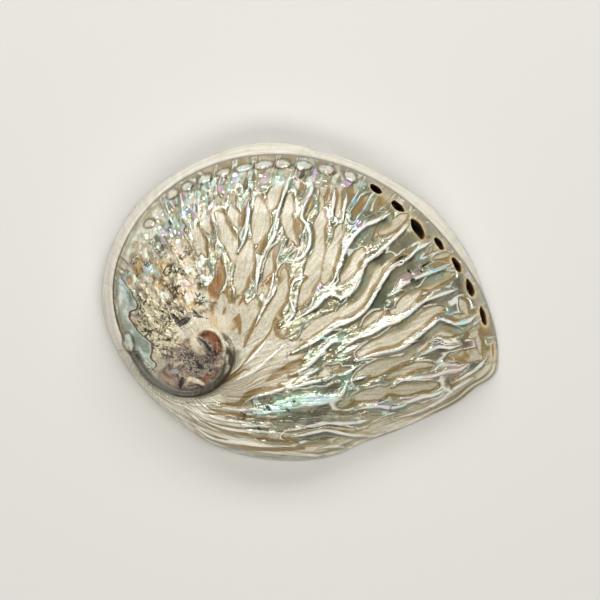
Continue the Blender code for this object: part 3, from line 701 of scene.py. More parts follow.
    # ochre streaks that run out of the spire, and fine stripes round its lower side
    streak = softNoise(spireBearing * 0.62, spireReach * 0.16, 2.0, 47)
    streakZone = between(spireBearing, 36.0, 14.0, 112.0, 20.0)
    streakZone = streakZone * between(spireReach, 10.0, 4.0, 46.0, 14.0)
    streakZone = streakZone * np.clip(2.8 * streak - 0.6, 0.0, 1.0)
    ochre = np.maximum(ochre, 0.9 * streakZone)
    flow = growthFlow(x, y, body)
    angle = np.degrees(np.arctan2(flow[:, 1], flow[:, 0]))
    hem = between(spireBearing, -92.0, 30.0, 28.0, 16.0) * (1.0 - late)
    hem = hem * softStep((across - 0.6) / 1.5) * (1.0 - drawnZone)
    stripes = 0.7 * softNoise(angle * 0.34, spireReach * 0.05, 1.0, 48)
    stripes = stripes + 0.3 * softNoise(angle * 0.9, spireReach * 0.08, 1.0, 49)
    relief = relief + 0.35 * hem * stripes
    ochre = np.maximum(ochre, hem * np.clip(-2.6 * stripes - 0.55, 0.0, 0.75))
    ochreDrawn, paleDrawn = drawnLines(x, y, ochreLines), drawnLines(x, y, paleLines)
    ochre = np.maximum(ochre, 0.8 * ochreDrawn)
    relief = relief - 0.3 * ochreDrawn + 0.35 * paleDrawn

    # flattened zones, the worn patch's own crags, the groove and the swelling of the hole row
    paleNacre = inOval(x, y, zones["paleNacre"], 1.1, 0.3, ragged) * body * (1.0 - worn)
    for flattened, amount in ((band, 1.0), (worn, 0.6), (smoothStrip, 1.0), (paleNacre, 0.6)):
        relief = relief * (1.0 - amount * flattened)
    crags = noise(3.2, 32) + 0.6 * noise(1.7, 33)
    relief = relief + worn * (0.40 * crags + 0.35 * noise(6.0, 34)) - 0.7 * smoothStrip
    relief = relief - smoothTable(grooveDepth, turn) * groove
    twin = 0.5 * bell(across - 1.5, 0.6) - 0.4 * bell(across - 2.7, 0.45)
    relief = relief + twin * late * softStep((357.0 - turn) / 20.0)
    relief = relief + 0.9 * bell(inRow, 2.0) * between(turn, 175.0, 40.0, 362.0, 20.0)

    # spire: a low swelling with a red-brown hollow inside a cream rim, and a dark steep flank
    spireDrawn = {key: drawnLines(x, y, [line]) for key, line in spireLines.items()}
    red, shard = spireDrawn["red"], spireDrawn["shard"]
    cream = np.maximum(spireDrawn["cream"], spireDrawn["creamArc"]) * (1.0 - red)
    scratches = 0.8 * drawnLines(x, y, scratchLines)
    fissure = np.maximum(drawnLines(x, y, darkLines), scratches)
    fromRing = spireReach - straightTable(ringReach, spireBearing)
    fromRing = np.where(spireBearing > 0.0, fromRing, across)
    flank = between(fromRing, -4.2, 1.6, 0.9, 0.9) * between(spireBearing, -202.0, 30.0, 72.0, 30.0)
    spireZone = inOval(x, y, zones["spire"], 1.05, 0.12, -0.12 * noise(3.0, 52))
    spireZone = spireZone * softStep((0.4 - across) / 0.8)
    palePart = inOval(x, y, zones["pale"], 1.05, 0.3, -0.15 * noise(3.0, 53)) * body
    worn = worn * (1.0 - 0.75 * palePart)
    relief = relief + 2.6 * bell(spireReach, 9.0)
    relief = relief - 1.3 * red + 0.9 * cream - 0.7 * fissure + 0.4 * shard
    relief = relief + spireZone * (0.30 * noise(2.0, 51) + 0.15 * noise(1.1, 54))
    flankLines = softNoise(fromRing, spireBearing * 0.03, 0.7, 55)
    ringLine = bell(fromRing - 0.3, 0.5) * between(spireBearing, -120.0, 40.0, 72.0, 30.0)
    relief = relief - 0.5 * ringLine * (spireBearing > 0.0) + 0.25 * flank * flankLines
    clear = (1.0 - spireZone) * (1.0 - 0.8 * palePart)
    nacre, ochre = nacre * clear * (1.0 - band), ochre * clear * (1.0 - band)
    for hidden in (band, spireZone, worn, smoothStrip):
        clear = clear * (1.0 - hidden)

    # rings round the open holes, all but the last on a swelling, and pearls in the closed ones
    holeRing, holeLip, pearl, pearlRing = np.zeros((4, len(x)))
    for hole in openHoles:
        if hole is not openHoles[-1]:
            relief = relief + 0.6 * np.exp(-((ovalReach(x, y, hole) / 2.1) ** 4))
        holeRing = np.maximum(holeRing, inOval(x, y, hole, 1.9, 0.7))
        holeLip = np.maximum(holeLip, inOval(x, y, hole, 1.34, 0.2))
    for hole in closedHoles:
        oval = ovalReach(x, y, hole) + 0.15 * noise(1.5, 61)
        relief = relief + 0.7 * bell(oval, 1.1) - 0.35 * bell(oval - 1.5, 0.35)
        pearl = np.maximum(pearl, softStep((1.15 - oval) / 0.3))
        pearlRing = np.maximum(pearlRing, bell(oval - 1.45, 0.3))

    fadeFrom = shellForm["reliefFade"]
    fade = 1.0 - softStep((reach / rim - fadeFrom) / (1.0 - fadeFrom))
    return {
        "relief": relief * fade,
        "ochreShare": ochre,
        "nacreShare": nacre,
        "crestLine": crestLine * clear,
        "crestGap": crestGap,
        "islandEdge": np.clip(edge, -3.0, 3.0),
        "sideBand": band,
        "grooveShade": groove * softStep((spireReach - 6.0) / 3.0),
        "grooveGap": np.clip(across, -3.0, 3.0),
        "grooveLate": late * (1.0 - 0.55 * softStep((turn - 214.0) / 30.0)),
        "smoothStrip": smoothStrip,
        "stripEdge": softStep(stripReach / 1.5) * softStep(-across),
        "stripGap": np.clip(toStrip, -3.0, 3.0),
        "wornZone": worn,
        "crumbZone": inOval(x, y, zones["crumbs"], 1.1, 0.3),
        "scratched": np.max([inOval(x, y, spot, 1.15, 0.3) for spot in scratchedSpots], axis=0),
        "facetZone": facets,
        "marginZone": marginZone,
        "lineGap": lineGap,
        "growthFlow": flow,
        "streakZone": streakZone,
        "hemStripes": hem * stripes,
        "paleDrawn": paleDrawn,
        "ochreDrawn": ochreDrawn,
        "paleNacre": paleNacre,
        "spireZone": spireZone,
        "redHollow": red,
        "creamRim": np.maximum(cream, shard),
        "fissure": fissure,
        "darkFlank": flank,
        # painted shade that deepens towards the flank's lower side
        "flankDark": flank * softStep((-28.0 - spireBearing) / 50.0),
        "flankLines": flankLines,
        "ringLine": ringLine,
        "palePart": palePart,
        **{key: inOval(x, y, oval, 1.1, 0.25) for key, oval in spirePatches.items()},
        "holeRing": holeRing,
        "holeLip": holeLip,
        "closedPearl": pearl,
        "closedRing": pearlRing,
    }


# distance from the dome's centre to the inner edge of the ledge
def innerEdge(bearing):
    return rimReach(bearing) - smoothTable(ledgeWidth, bearing, 1, True)


# inside: the lowest of the dome slid by up to one wall, less the circle of the wall's
# thickness, and a quarter round from the ledge up to it
def innerHeight(bearing, reach):
    wall = shellForm["wall"]
    lowest = np.full_like(reach, np.inf)
    for slide in np.linspace(-wall, wall, 13):
        drop = math.sqrt(max(wall**2 - slide**2, 0.0))
        lowest = np.minimum(lowest, domeHeight(bearing, np.abs(reach + slide)) - drop)
    into = np.clip((innerEdge(bearing) - reach) / shellForm["riserRun"], 0.0, 1.0)
    riser = np.sqrt(1.0 - (1.0 - into) ** 2)
    rise = shellForm["ledgeRise"]
    return rise + (np.maximum(lowest, rise) - rise) * riser


# a square grid pressed into a disc, evenly spaced with no pole: bearing and share
def discGrid(cells):
    line = np.linspace(-1.0, 1.0, cells + 1)
    a, b = np.meshgrid(line, line, indexing="ij")
    a, b = a.ravel(), b.ravel()
    wide = np.abs(a) > np.abs(b)
    longSide, shortSide = np.where(wide, a, b), np.where(wide, b, a)
    lean = 45.0 * shortSide / np.where(longSide == 0.0, 1.0, longSide)
    bearing = np.where(wide, lean, 90.0 - lean) + np.where(longSide < 0.0, 180.0, 0.0)
    share = np.abs(longSide)
    crowd = shellForm["rimCrowding"]
    return bearing, share * (1.0 + crowd - crowd * share**2)


# quads of a disc grid, as rows of four point numbers
def gridQuads(cells, first, upward):
    i, j = np.meshgrid(np.arange(cells), np.arange(cells), indexing="ij")
    a = (first + i * (cells + 1) + j).ravel()
    b = a + cells + 1
    quads = np.column_stack([a, b, b + 1, a + 1])
    return quads if upward else quads[:, ::-1]


# point numbers round the edge of a disc grid, anticlockwise from one corner
def gridRim(cells, first):
    side = cells + 1
    up, down = np.arange(cells), np.arange(cells, 0, -1)
    return first + np.concatenate([up * side, cells * side + up, down * side + cells, down])


# triangles between two rings of points, the second with half as many, or quads if as many
def ringStrip(outer, inner):
    if len(outer) == len(inner):
        return np.column_stack([np.roll(outer, -1), outer, inner, np.roll(inner, -1)])
    first, middle, last = outer[::2], outer[1::2], np.roll(outer, -2)[::2]
    here, after = inner, np.roll(inner, -1)
    return np.concatenate([
        np.column_stack([first, here, middle]),
        np.column_stack([middle, here, after]),
        np.column_stack([middle, after, last]),
    ])


# ring of points on the floor at bearings and distances from the dome's centre
def levelRing(bearing, reach):
    return np.column_stack([*planPoint(bearing, reach), np.zeros_like(reach)])


# puts points and faces, given in millimetres, into a mesh object
def addMesh(name, points, faceSets, materialNumbers):
    mesh = bpy.data.meshes.new(name)
    middle = shellForm["middle"]
    scaled = (points - middle) * shellForm["scale"] * millimetre
    counts = np.concatenate([np.full(len(f), f.shape[1]) for f in faceSets])
    corners = np.concatenate([f.ravel() for f in faceSets])
    mesh.vertices.add(len(scaled))
    mesh.vertices.foreach_set("co", scaled.ravel())
    mesh.loops.add(len(corners))
    mesh.loops.foreach_set("vertex_index", corners)
    mesh.polygons.add(len(counts))
    mesh.polygons.foreach_set("loop_start", np.concatenate([[0], np.cumsum(counts)[:-1]]))
    numbers = np.concatenate([np.full(len(f), n) for f, n in zip(faceSets, materialNumbers)])
    mesh.polygons.foreach_set("material_index", numbers)
    mesh.update(calc_edges=True)
    mesh.validate()
    item = bpy.data.objects.new(name, mesh)
    scene.collection.objects.link(item)
    return item


# the closed shell: outer sheet, foot ring, flat ring, ledge strip and inner sheet
def buildShell():
    outerCells, innerCells = shellForm["outerCells"], shellForm["innerCells"]
    bearing, share = discGrid(outerCells)
    reach = share * rimReach(bearing)
    x, y = planPoint(bearing, reach)
    height = domeHeight(bearing, reach) + surfaceFields(x, y)["relief"]
    outer = np.column_stack([x, y, height])
    low, high = outer.min(axis=0), outer.max(axis=0)
    shellForm["middle"] = np.array([(low[0] + high[0]) / 2, (low[1] + high[1]) / 2, 0.0])
    shellForm["scale"] = (cadHigh[0] - cadLow[0]) / millimetre / (high[0] - low[0])

    rim = gridRim(outerCells, 0)
    footReach = rimReach(bearing[rim]) - shellForm["rimEdge"]
    foot = levelRing(bearing[rim], footReach)
    flat = levelRing(bearing[rim][::2], footReach[::2] - shellForm["rimFlat"])

    # the hollow echoes the folds faintly and has a rougher muscle scar
    bearing, share = discGrid(innerCells)
    reach = share * innerEdge(bearing)
    x, y = planPoint(bearing, reach)
    echo = 0.3 * surfaceFields(x, y)["relief"] * softStep((1.0 - share) / 0.15)
    scar = inOval(x, y, zones["scar"], 1.05, 0.1)
    echo = echo - scar * (0.35 + 0.18 * softNoise(x, y, 2.6, 61))
    inner = np.column_stack([x, y, innerHeight(bearing, reach) + echo])

    flatFirst = len(outer) + len(foot)
    innerFirst = flatFirst + len(flat)
    footNumbers, flatNumbers = np.arange(len(outer), flatFirst), np.arange(flatFirst, innerFirst)
    faceSets = [
        gridQuads(outerCells, 0, True),
        ringStrip(rim, footNumbers),
        ringStrip(footNumbers, flatNumbers),
        ringStrip(flatNumbers, gridRim(innerCells, innerFirst)),
        gridQuads(innerCells, innerFirst, False),
    ]
    points = np.concatenate([outer, foot, flat, inner])
    return addMesh("abalone_shell", points, faceSets, [0, 0, 1, 1, 1])


# leaning oval posts that cut the open holes: level ovals joined by side faces
def buildHoleCutter():
    sides = 40
    angles = np.linspace(0.0, 2.0 * math.pi, sides, endpoint=False)
    points, quads, caps = [], [], []
    for number, (x, y, length, width, turn, lean) in enumerate(openHoles):
        bearing, reach = bearingReach(np.array([x]), np.array([y]), shellForm["domeCentre"])
        surface = float(domeHeight(bearing, reach)[0])
        out, axis = math.radians(float(bearing[0])), math.radians(turn)
        ragged = 1.0 + 0.05 * np.sin(3 * angles + number) + 0.03 * np.sin(5 * angles + 2 * number)
        along = 0.5 * length * np.cos(angles) * ragged
        across = 0.5 * width * np.sin(angles) * ragged
        ovalX = along * math.cos(axis) - across * math.sin(axis)
        ovalY = along * math.sin(axis) + across * math.cos(axis)
        for rise in (6.0, max(-9.0, 1.2 - surface)):
            spread = 1.0 + 0.065 * rise
            points.append(np.column_stack([
                x + spread * ovalX + rise * lean * math.cos(out),
                y + spread * ovalY + rise * lean * math.sin(out),
                np.full_like(angles, surface + rise),
            ]))
        top = 2 * sides * number + np.arange(sides)
        after = np.roll(top, -1)
        quads.append(np.column_stack([top, top + sides, after + sides, after]))
        caps.append(np.stack([top, (top + sides)[::-1]]))
    numbers = [2] * (2 * len(openHoles))
    cutter = addMesh("hole_cutter", np.concatenate(points), quads + caps, numbers)
    cutter.hide_render = True
    return cutter


# sRGB hex, or a number for a grey, to linear colour
def colour(code):
    if not isinstance(code, str):
        return (code, code, code, 1.0)
    parts = [int(code[k:k + 2], 16) / 255.0 for k in (1, 3, 5)]
    linear = [p / 12.92 if p <= 0.04045 else ((p + 0.055) / 1.055) ** 2.4 for p in parts]
    return (*linear, 1.0)


# nodes by the names used here: type, inputs in the order of the sources, output, settings;
# any other name is an operation of the arithmetic node
nodeKinds = {
    "Place": ("TexCoord", (), "Object", {}),
    "Attribute": ("Attribute", (), "Vector", {}),
    "Stretch": ("Mapping", ("Vector", "Scale"), 0, {}),
    "Shift": ("VectorMath", (0, 1, 2), 0, {"operation": "MULTIPLY_ADD"}),
    "Noise": ("TexNoise", ("Vector", "Scale", "Detail", "Roughness", "Distortion"), "Fac", {}),
    "Cells": ("TexVoronoi", ("Vector", "Scale"), "Distance", {}),
    "Split": ("SeparateColor", ("Color",), 0, {}),
    "Ramp": ("ValToRGB", ("Fac", "stops"), "Color", {}),
    "Blend": ("Mix", (0, 6, 7), 2, {"data_type": "RGBA"}),
    "Gamma": ("Gamma", ("Color", "Gamma"), 0, {}),
    "Bump": ("Bump", ("Height", "Distance", "Normal"), 0, {}),
}


# joins a socket, a value, a colour code or a vertex attribute's name to an input
def feed(tree, source, socket):
    if isinstance(source, str) and source[0] != "#":
        source = addNode(tree, "Attribute", out="Fac", attribute_name=source)
    if isinstance(source, bpy.types.NodeSocket):
        tree.links.new(source, socket)
    else:
        socket.default_value = colour(source) if socket.type == "RGBA" else source


# adds a node, feeds its inputs in order and gives the output that is wanted
def addNode(tree, kind, *sources, out=None, **settings):
    arithmetic = ("Math", (0, 1, 2), 0, {"operation": kind})
    nodeType, inputs, output, fixed = nodeKinds.get(kind, arithmetic)
    made = tree.nodes.new("ShaderNode" + nodeType)
    for name, value in {**fixed, **settings}.items():
        setattr(made, name, value)
    for name, source in zip(inputs, sources):
        if name != "stops":
            feed(tree, source, made.inputs[name])
            continue
        elements = made.color_ramp.elements
        while len(elements) < len(source):
            elements.new(0.5)
        for element, (place, tone) in zip(elements, source):
            element.position = place
            element.color = colour(tone)
    return made.outputs[output if out is None else out]


# tones laid one over the other on a ground, each with its mask and how much of that counts
def overlay(node, ground, *layers):
    for mask, amount, tone in layers:
        ground = node("Blend", node("MULTIPLY", mask, amount), ground, tone)
    return ground


# a material whose shader inputs are given by name, by a function that adds nodes to its tree
def makeFinish(name, sockets):
    finish = bpy.data.materials.new(name)
    finish.use_nodes = True
    tree = finish.node_tree
    shader = tree.nodes["Principled BSDF"]
    for socket, source in sockets(functools.partial(addNode, tree)).items():
        feed(tree, source, shader.inputs[socket])
    return finish


shell = buildShell()
print("shell grid:", len(shell.data.vertices), "points")


# iridescence: the strongest spot at a point gives the hue and the strength
def spotFields(x, y):
    strength = 0.16 + 0.14 * softNoise(x, y, 5.0, 73)
    hue = 0.46 + 0.52 * softNoise(x, y, 4.2, 71)
    for spot in iridescentSpots:
        amount = spot[6] * bell(ovalReach(x, y, spot), 1.0)
        hue = hue + (spot[5] - hue) * np.clip(amount * 1.5, 0.0, 1.0)
        strength = np.maximum(strength, amount)
    return hue + 0.05 * softNoise(x, y, 4.0, 72), strength


# cuts the open holes and keeps the result as the object's own mesh
def cutHoles(item, cutter):
    cut = item.modifiers.new("open_holes", "BOOLEAN")
    cut.operation = "DIFFERENCE"
    cut.solver = "EXACT"
    cut.material_mode = "INDEX"
    cut.object = cutter
    bpy.context.view_layer.update()
    graph = bpy.context.evaluated_depsgraph_get()
    cutMesh = bpy.data.meshes.new_from_object(item.evaluated_get(graph))
    item.modifiers.clear()
    item.data = cutMesh
    bpy.data.objects.remove(cutter, do_unlink=True)


# vertex values on the finished mesh, from the plan position of each point
def writeFields(item):
    mesh = item.data
    flat = np.empty(3 * len(mesh.vertices))
    mesh.vertices.foreach_get("co", flat)
    points = flat.reshape(-1, 3) / millimetre / shellForm["scale"] + shellForm["middle"]
    x, y = points[:, 0], points[:, 1]
    fields = surfaceFields(x, y)
    fields["pearlHue"], fields["pearlStrength"] = spotFields(x, y)
    bearing, reach = bearingReach(x, y, shellForm["domeCentre"])
    around, radius = np.radians(bearing), shellForm["aroundRadius"]
    aroundRim = [radius * np.cos(around), radius * np.sin(around)]
    fields["bandPlace"] = np.column_stack([rimReach(bearing) - reach, *aroundRim])
    fields["marginPlace"] = np.column_stack([fields.pop("lineGap"), *aroundRim])
    fields["wallDepth"] = domeHeight(bearing, reach) + fields.pop("relief") - points[:, 2]
    for name, values in fields.items():
        kind, key = ("FLOAT_VECTOR", "vector") if values.ndim == 2 else ("FLOAT", "value")
        mesh.attributes.new(name, kind, "POINT").data.foreach_set(key, values.ravel())


# smooth faces, with a crisp edge wherever two finishes meet
def shadeByFinish(item):
    mesh = item.data
    mesh.shade_smooth()
    finishes = np.empty(len(mesh.polygons), int)
    totals = np.empty(len(mesh.polygons), int)
    edges = np.empty(len(mesh.loops), int)
    mesh.polygons.foreach_get("material_index", finishes)
    mesh.polygons.foreach_get("loop_total", totals)
    mesh.loops.foreach_get("edge_index", edges)
    perLoop = np.repeat(finishes, totals)
    least = np.full(len(mesh.edges), 99)
    most = np.full(len(mesh.edges), -1)
    np.minimum.at(least, edges, perLoop)
    np.maximum.at(most, edges, perLoop)
    mesh.edges.foreach_set("use_edge_sharp", least != most)


# polished outer side: nacre on the crests and fronts of the folds, beige layer in the hollows
def outerFinish(node):
    place = node("Place")
    flow, margin, rimPlace = [
        node("Attribute", attribute_name=name)
        for name in ("growthFlow", "marginPlace", "bandPlace")
    ]
    cloud = node("Noise", place, 160.0, 3.0, 0.5, 0.6)
    uneven = node("Noise", place, 190.0, 2.0)
    crumbs = node("Noise", place, 300.0, 4.0, 0.6, 0.8)
    wobble = node("SUBTRACT", node("Noise", place, 500.0, 4.0, 0.6), 0.5)
    shifts = node("Noise", place, 260.0, 3.0, out="Color")
    bent = node("Shift", shifts, (0.006, 0.006, 0.006), place)

    # beige layer: fine growth striations that run along the folds
    along = node("Stretch", flow, (1.0, 1.0, 0.12))
    marginLines = node("Stretch", margin, (1.0, 0.04, 0.04))
    marginLines = node("Noise", marginLines, 0.8, 4.0, 0.55, 0.4)
    fineLines = node("Blend", "marginZone", node("Noise", along, 1.7, 4.0, 0.6), marginLines)
    broadLines = node("Noise", along, 0.45, 3.0)
    grain = node("Noise", place, 1300.0, 3.0, 0.7)
    island = overlay(
        node, node("Ramp", fineLines, [(0.30, "#BBB59F"), (0.70, "#E0DAC9")]),
        (node("Ramp", broadLines, [(0.48, 0.0), (0.75, 1.0)]), 0.4, "#D0BFAC"),
        (node("Ramp", grain, [(0.42, 0.0), (0.62, 1.0)]), 0.42, "#90866F"),
    )

    # ochre layer: gold at its outer edge, browner towards the crest
    ochreDepth = node("MULTIPLY_ADD", wobble, 0.16, "ochreShare")
    ochreShow = node("Ramp", ochreDepth, [(0.05, 0.0), (0.30, 1.0)])
    ochre = overlay(
        node, node("Ramp", ochreDepth, [(0.10, "#B5A67A"), (0.40, "#937D49"), (0.9, "#6C5A31")]),
        (broadLines, 0.45, "#8C6A38"),
        ("streakZone", 0.6, "#A06F38"),
        ("marginZone", 0.65, "#BDAE7C"),
    )

    # painted highlight where the crest of a fold shows: on its line and as glints beside the
    # islands, not on covered zones
    crestGap = node("ABSOLUTE", "crestGap")
    crestGap = node("MULTIPLY_ADD", node("SUBTRACT", uneven, 0.5), 1.1, crestGap)
    edgeGap = node("MULTIPLY_ADD", wobble, 0.5, "islandEdge")
    glint = node("ABSOLUTE", node("ADD", edgeGap, 0.55))
    glint = node("Ramp", glint, [(0.16, 0.9), (0.46, 0.0)])
    glint = node("MULTIPLY", glint, node("Ramp", uneven, [(0.42, 0.0), (0.54, 1.0)]))
    covered = node("MAXIMUM", "sideBand", "wornZone")
    covered = node("MAXIMUM", covered, node("MAXIMUM", "spireZone", "smoothStrip"))
    clear = node("SUBTRACT", 1.0, covered)
    highlightOnCrest = node("MAXIMUM", node("Ramp", crestGap, [(0.34, 1.0), (0.72, 0.0)]), glint)
    highlightOnCrest = node("MULTIPLY", highlightOnCrest, clear)
    crest = node("MULTIPLY_ADD", wobble, 0.5, "crestLine")
    paintedCrestHighlight = node("MAXIMUM", node("Ramp", crest, [(0.32, 0.0), (0.78, 1.0)]), highlightOnCrest)

    # nacre: silver ground with painted shade just in front of the crest, pearl hues where the light
    # breaks, a painted glow round the crest and a painted highlight on it
    phase = node("MULTIPLY_ADD", node("SUBTRACT", cloud, 0.5), 0.35, "pearlHue")
    pearlHues = node("Ramp", phase, [
        (0.0, "#E4D5AE"), (0.14, "#ECDABE"), (0.25, "#F2D2DA"), (0.36, "#DED9CE"),
        (0.50, "#DCE1CC"), (0.62, "#C2EFDA"), (0.74, "#B8E8F0"), (0.86, "#D2CEF2"),
        (0.94, "#F0BCE6"), (1.0, "#F2D2DA"),
    ])
    nacreDepth = node("MULTIPLY_ADD", wobble, 0.20, "nacreShare")
    silverAndShade = node("Ramp", nacreDepth, [
        (0.10, "#D3CFB2"), (0.40, "#B9B695"), (0.80, "#87856A"), (1.0, "#A8A68E"),
    ])
    fleck = node("Ramp", node("Noise", place, 240.0, 2.0), [(0.58, 0.0), (0.68, 0.55)])
    tint = node("MAXIMUM", node("MULTIPLY", "pearlStrength", 0.8), fleck)
    halo = node("Ramp", node("MULTIPLY", crestGap, 0.33), [(0.16, 0.65), (0.60, 0.0)])
    nacre = overlay(
        node, silverAndShade,
        (node("Noise", along, 0.9, 3.0), 0.40, "#BDB896"),
        (tint, 1.0, pearlHues),
        (halo, clear, node("Blend", tint, "#E4E5D4", pearlHues)),
        (paintedCrestHighlight, 1.0, node("Blend", node("ADD", tint, 0.12), "#FCFAF3", pearlHues)),
    )
    nacreShow = node("MAXIMUM", node("Ramp", nacreDepth, [(0.10, 0.0), (0.30, 1.0)]), highlightOnCrest)

    # dark lines round the islands; painted shade below the crests, and painted dark reflections in
    # patches
    bare = node("SUBTRACT", 1.0, "facetZone")
    outline = node("ABSOLUTE", node("SUBTRACT", edgeGap, 0.05))
    outline = node("MULTIPLY", node("Ramp", outline, [(0.06, 0.55), (0.26, 0.0)]), clear)
    darkReflection = node("Ramp", node("Noise", place, 70.0, 2.0), [(0.50, 0.0), (0.62, 0.55)])
    darkReflection = node("MULTIPLY", darkReflection, node("SUBTRACT", 1.0, paintedCrestHighlight))
    shadeUnderCrest = node("ABSOLUTE", node("SUBTRACT", "crestGap", 1.15))
    shadeUnderCrest = node("ADD", node("Ramp", shadeUnderCrest, [(0.20, 0.62), (1.0, 0.0)]), darkReflection)
    shadeUnderCrest = node("MULTIPLY", node("MULTIPLY", shadeUnderCrest, clear), nacreShow)
    lit = node("MAXIMUM", "facetZone", highlightOnCrest)

    # facets below the hole row: each small cell of nacre gets its own hue, some a painted highlight
    # in white and some painted shade in dark olive
    facetCells = node("Cells", node("Stretch", flow, (1.0, 1.0, 0.85)), 0.72, out="Color")
    parts = node("Split", facetCells).node.outputs
    facetHuesAndLight = node("Ramp", parts[0], [
        (0.0, "#3E3C2C"), (0.14, "#8D8966"), (0.30, "#D0CBB2"), (0.50, "#FBF9F2"),
        (0.66, "#C0F2EA"), (0.78, "#E9F2E4"), (0.90, "#F2C8EA"), (1.0, "#C2CEF4"),
    ])
    softNacre = node("Ramp", cloud, [(0.35, "#A9A680"), (0.48, "#D5D6BC"), (0.60, "#F1F1E2")])

    # lower margin: thin cream, white and olive growth lines, cut across by the wheel
    marginTone = node("Ramp", marginLines, [
        (0.38, "#76693C"), (0.44, "#BDB188"), (0.48, "#E8E0CA"), (0.53, "#FFFFFA"),
        (0.575, "#C4B88E"), (0.62, "#EEE8D6"),
    ])
    shown = node("MAXIMUM", node("MAXIMUM", paintedCrestHighlight, ochreShow), nacreShow)

    # stripes by the spire: pale rosy ridges and darker furrows along the growth flow
    stripeTone = node("Ramp", fineLines, [
        (0.34, "#7A6A4C"), (0.42, "#A99A80"), (0.55, "#D0C5B2"), (0.66, "#ECE5D8"),
    ])
    furrow = node("Ramp", node("ADD", "hemStripes", 0.5), [
        (0.20, 1.0), (0.42, 0.35), (0.52, 0.0), (0.8, 0.5),
    ])
    paleWave, ochreWave = node("ADD", "paleDrawn", wobble), node("ADD", "ochreDrawn", wobble)
    tone = overlay(
        node, island,
        (ochreShow, 1.0, ochre),
        (nacreShow, 1.0, nacre),
        (outline, bare, "#5E5534"),
        # painted shade below the crests and painted dark reflections
        (shadeUnderCrest, node("SUBTRACT", 1.0, lit), "#55564C"),
        # facet cells: pearl hues, painted highlights and painted shade
        (node("Ramp", parts[1], [(0.36, 0.0), (0.50, 0.85)]), "facetZone", facetHuesAndLight),
        ("paleNacre", 1.0, overlay(node, softNacre, (tint, 0.6, pearlHues))),
        ("marginZone", node("MULTIPLY_ADD", shown, -0.55, 0.85), marginTone),
        (furrow, 0.75, stripeTone),
        (node("Ramp", paleWave, [(0.45, 0.0), (0.65, 0.9)]), 1.0, "#FBF7EC"),
        (node("Ramp", ochreWave, [(0.40, 0.0), (0.60, 0.85)]), 1.0, "#937A48"),
    )

    # worn patch: cream and gold flakes, grey nacre between them, black cracks and hairs
    gold = node("Ramp", cloud, [(0.53, 0.0), (0.60, 0.7)])
    wornPearl = node("Ramp", node("Noise", place, 120.0, 3.0), [(0.52, 0.0), (0.60, 0.7)])
    cracks = node("Cells", bent, 330.0, feature="DISTANCE_TO_EDGE")
    cracks = node("Ramp", cracks, [(0.02, 1.0), (0.09, 0.0)])
    broken = node("Ramp", node("Noise", place, 210.0, 3.0), [(0.50, 0.0), (0.56, 1.0)])
    cracks = node("MULTIPLY", cracks, broken)
    hairs = node("Cells", bent, 520.0, feature="DISTANCE_TO_EDGE")
    hairs = node("Ramp", hairs, [(0.03, 1.0), (0.09, 0.0)])
    broken = node("Ramp", node("Noise", bent, 420.0, 2.0), [(0.52, 0.0), (0.56, 1.0)])
    hairs = node("MULTIPLY", node("MULTIPLY", hairs, broken), "scratched")
    crumbTone = node("Ramp", node("Noise", bent, 620.0, 3.0, 0.6), [
        (0.36, "#191410"), (0.41, "#6B5C44"), (0.45, "#D8CDA8"), (0.56, "#F4ECD6"),
        (0.66, "#BDB79A"),
    ])
    wornTone = node("Ramp", crumbs, [
        (0.30, "#5D5444"), (0.40, "#A4997F"), (0.50, "#DACFB6"), (0.62, "#F6EEDC"),
        (0.75, "#B9AA90"),
    ])
    wornTone = overlay(
        node, wornTone,
        (gold, 1.0, "#BC9550"),
        (wornPearl, 1.0, pearlHues),
        ("crumbZone", 1.0, crumbTone),
        (cracks, 0.9, "#17130F"),
    )

    # smooth strip with a pale and a dark edge; side band of satin cream with lines that follow
    # the margin; groove with an olive hem and a dark thread
    stripTone = node("Ramp", cloud, [(0.38, "#8FA196"), (0.50, "#BBC9C0"), (0.60, "#EDF2EC")])
    stripPale = node("ABSOLUTE", node("SUBTRACT", "stripGap", 0.75))
    stripRim = node("ABSOLUTE", "stripGap")
    bandLines = node("Noise", node("Stretch", rimPlace, (1.0, 0.04, 0.04)), 2.2, 4.0, 0.6)
    bandTone = node("Ramp", bandLines, [(0.3, "#DBD4C0"), (0.7, "#FFFCF2")])
    stain = node("Noise", place, 60.0, 2.0)
    grooveGap = node("MULTIPLY_ADD", wobble, 0.6, "grooveGap")
    hem = node("ABSOLUTE", node("MULTIPLY", node("ADD", grooveGap, 1.5), 0.5))
    thread = node("ABSOLUTE", grooveGap)
    tone = overlay(
        node, tone,
        ("wornZone", 0.85, wornTone),
        (hairs, 0.85, "#221D17"),
        ("smoothStrip", 1.0, overlay(node, stripTone, ("pearlStrength", 0.7, pearlHues))),
        (node("Ramp", stripPale, [(0.15, 0.7), (0.45, 0.0)]), "stripEdge", "#EDE4C8"),
        (node("Ramp", stripRim, [(0.22, 0.9), (0.50, 0.0)]), "stripEdge", "#4A3A22"),
        ("sideBand", 1.0, overlay(node, bandTone, (stain, 0.16, "#D2C2AA"))),
        ("grooveShade", 0.4, "#45402F"),
        (node("Ramp", hem, [(0.15, 0.6), (0.55, 0.0)]), "grooveLate", "#9A8A5C"),
        (node("Ramp", thread, [(0.14, 0.9), (0.42, 0.0)]), "grooveLate", "#4A3C22"),
    )
